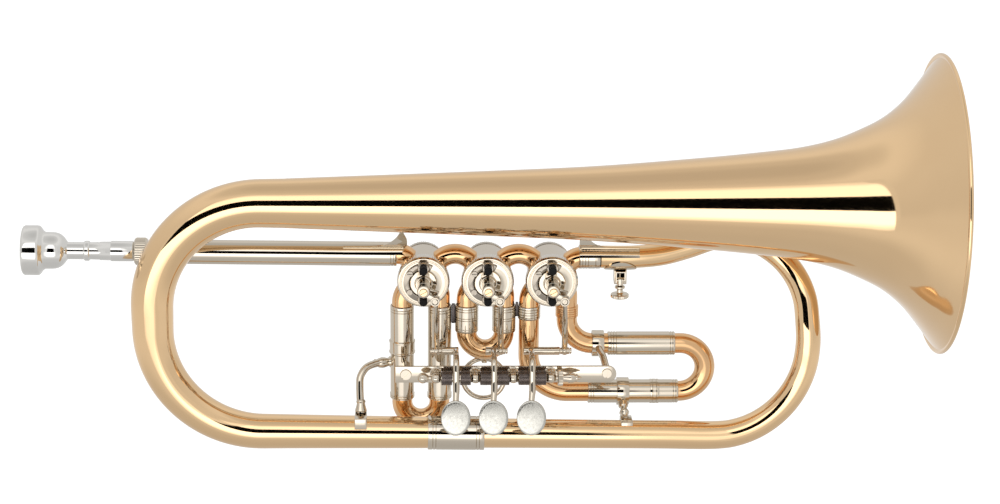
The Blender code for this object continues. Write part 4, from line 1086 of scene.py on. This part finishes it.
def make_light_wall():
    """One wall behind the camera: two soft boxes with a dark gap between them, and grey beside them."""
    material = bpy.data.materials.new("light_wall")
    material.use_nodes = True
    tree = material.node_tree
    tree.nodes.remove(tree.nodes["Principled BSDF"])
    where = tree.nodes.new("ShaderNodeTexCoord").outputs["Object"]
    boxes = wall_ramp(tree, where, 1, ((-0.6, 0.6), (-0.36, 0.95), (0.118, 0.95), (0.130, 0.0),
                                       (0.805, 0.0), (0.817, 0.68), (1.5, 0.68), (1.85, 0.45)))
    plain = wall_ramp(tree, where, 1, ((-0.4, 0.55), (0.1, 0.58), (0.2, 0.40), (0.7, 0.40), (0.8, 0.55),
                                       (1.3, 0.5)))
    inside = wall_ramp(tree, where, 0, ((-1.44, 0.0), (-1.38, 1.0), (0.18, 1.0), (0.24, 0.0)), edge=0.0)
    outside = wall_ramp(tree, where, 0, ((-1.44, WALL_EDGE), (-1.2, 1.0), (0.3, 1.0), (0.75, WALL_EDGE)))
    grey = (WALL_EDGE, WALL_EDGE, WALL_EDGE, 1.0)
    beside = blend(tree, blend(tree, plain, outside, "MULTIPLY"), grey, "LIGHTEN")
    glow = tree.nodes.new("ShaderNodeEmission")
    glow.inputs["Strength"].default_value = WALL_RADIANCE
    tree.links.new(blend(tree, beside, boxes, factor=inside), glow.inputs["Color"])
    tree.links.new(glow.outputs["Emission"], tree.nodes["Material Output"].inputs["Surface"])
    (left, bottom), (right, top) = WALL_LOW, WALL_HIGH
    corners = ((left, bottom), (left, top), (right, top), (right, bottom))
    wall = panel("light_wall", [(x, WALL_Y, z) for x, z in corners], material)
    wall.visible_camera = False
    wall.visible_shadow = False


def make_world():
    """Pale surroundings, a little darker level with the object than above and below."""
    world = bpy.data.worlds.new("studio")
    world.use_nodes = True
    tree = world.node_tree
    where = tree.nodes.new("ShaderNodeTexCoord").outputs["Generated"]
    height = axis_share(tree, where, "Z", -1.0, 1.0)
    shade = stops(tree, height, ((0.0, 0.62), (0.14, 0.66), (0.3, 0.84), (0.42, 0.78), (0.5, 0.72),
                                 (0.7, 0.76), (0.89, 0.88), (0.965, 0.70), (1.0, 0.62)))
    tree.links.new(shade, tree.nodes["Background"].inputs["Color"])
    tree.nodes["Background"].inputs["Strength"].default_value = 1.0
    bpy.context.scene.world = world


def make_floor():
    pale, tree, shader, where = new_material("floor_pale")
    tree.links.new(ramp(tree, noise(tree, where, 0.8, 2.0), (0.90, 0.90, 0.895), (0.93, 0.93, 0.925)),
                   shader.inputs["Base Color"])
    shader.inputs["Roughness"].default_value = 0.9
    shader.inputs["Emission Color"].default_value = (1.0, 0.995, 0.985, 1.0)
    shader.inputs["Emission Strength"].default_value = 0.4
    floor = panel("floor", [(x * FLOOR_SIDE, y * FLOOR_SIDE, FLOOR_Z) for x, y in CORNERS], pale)
    floor.visible_glossy = False


def make_studio():
    bpy.context.scene.view_settings.view_transform = "Standard"
    make_world()
    make_light_wall()
    make_floor()


def main():
    make_camera()
    make_studio()
    make_bell()
    make_left_bow()
    make_ferrule()
    make_right_bow()
    make_casings()
    make_knuckles()
    make_inlet_and_outlet()
    make_valves()
    make_slide_1()
    make_slide_2()
    make_slide_3()
    make_spacers_painted_shade()
    make_levers()
    make_leadpipe()
    make_mouthpiece()
    saddle("leadpipe_saddle_sheet", "leadpipe_saddle", LEAD_SADDLE, 9.9, 6.6, 2.6)
    saddle("outlet_saddle_sheet", "outlet_saddle", OUTLET_SADDLE, 8.15, 6.45, -1.6)
    make_left_brace()
    make_right_brace()
    make_lyre_socket()
    bpy.context.view_layer.update()


main()
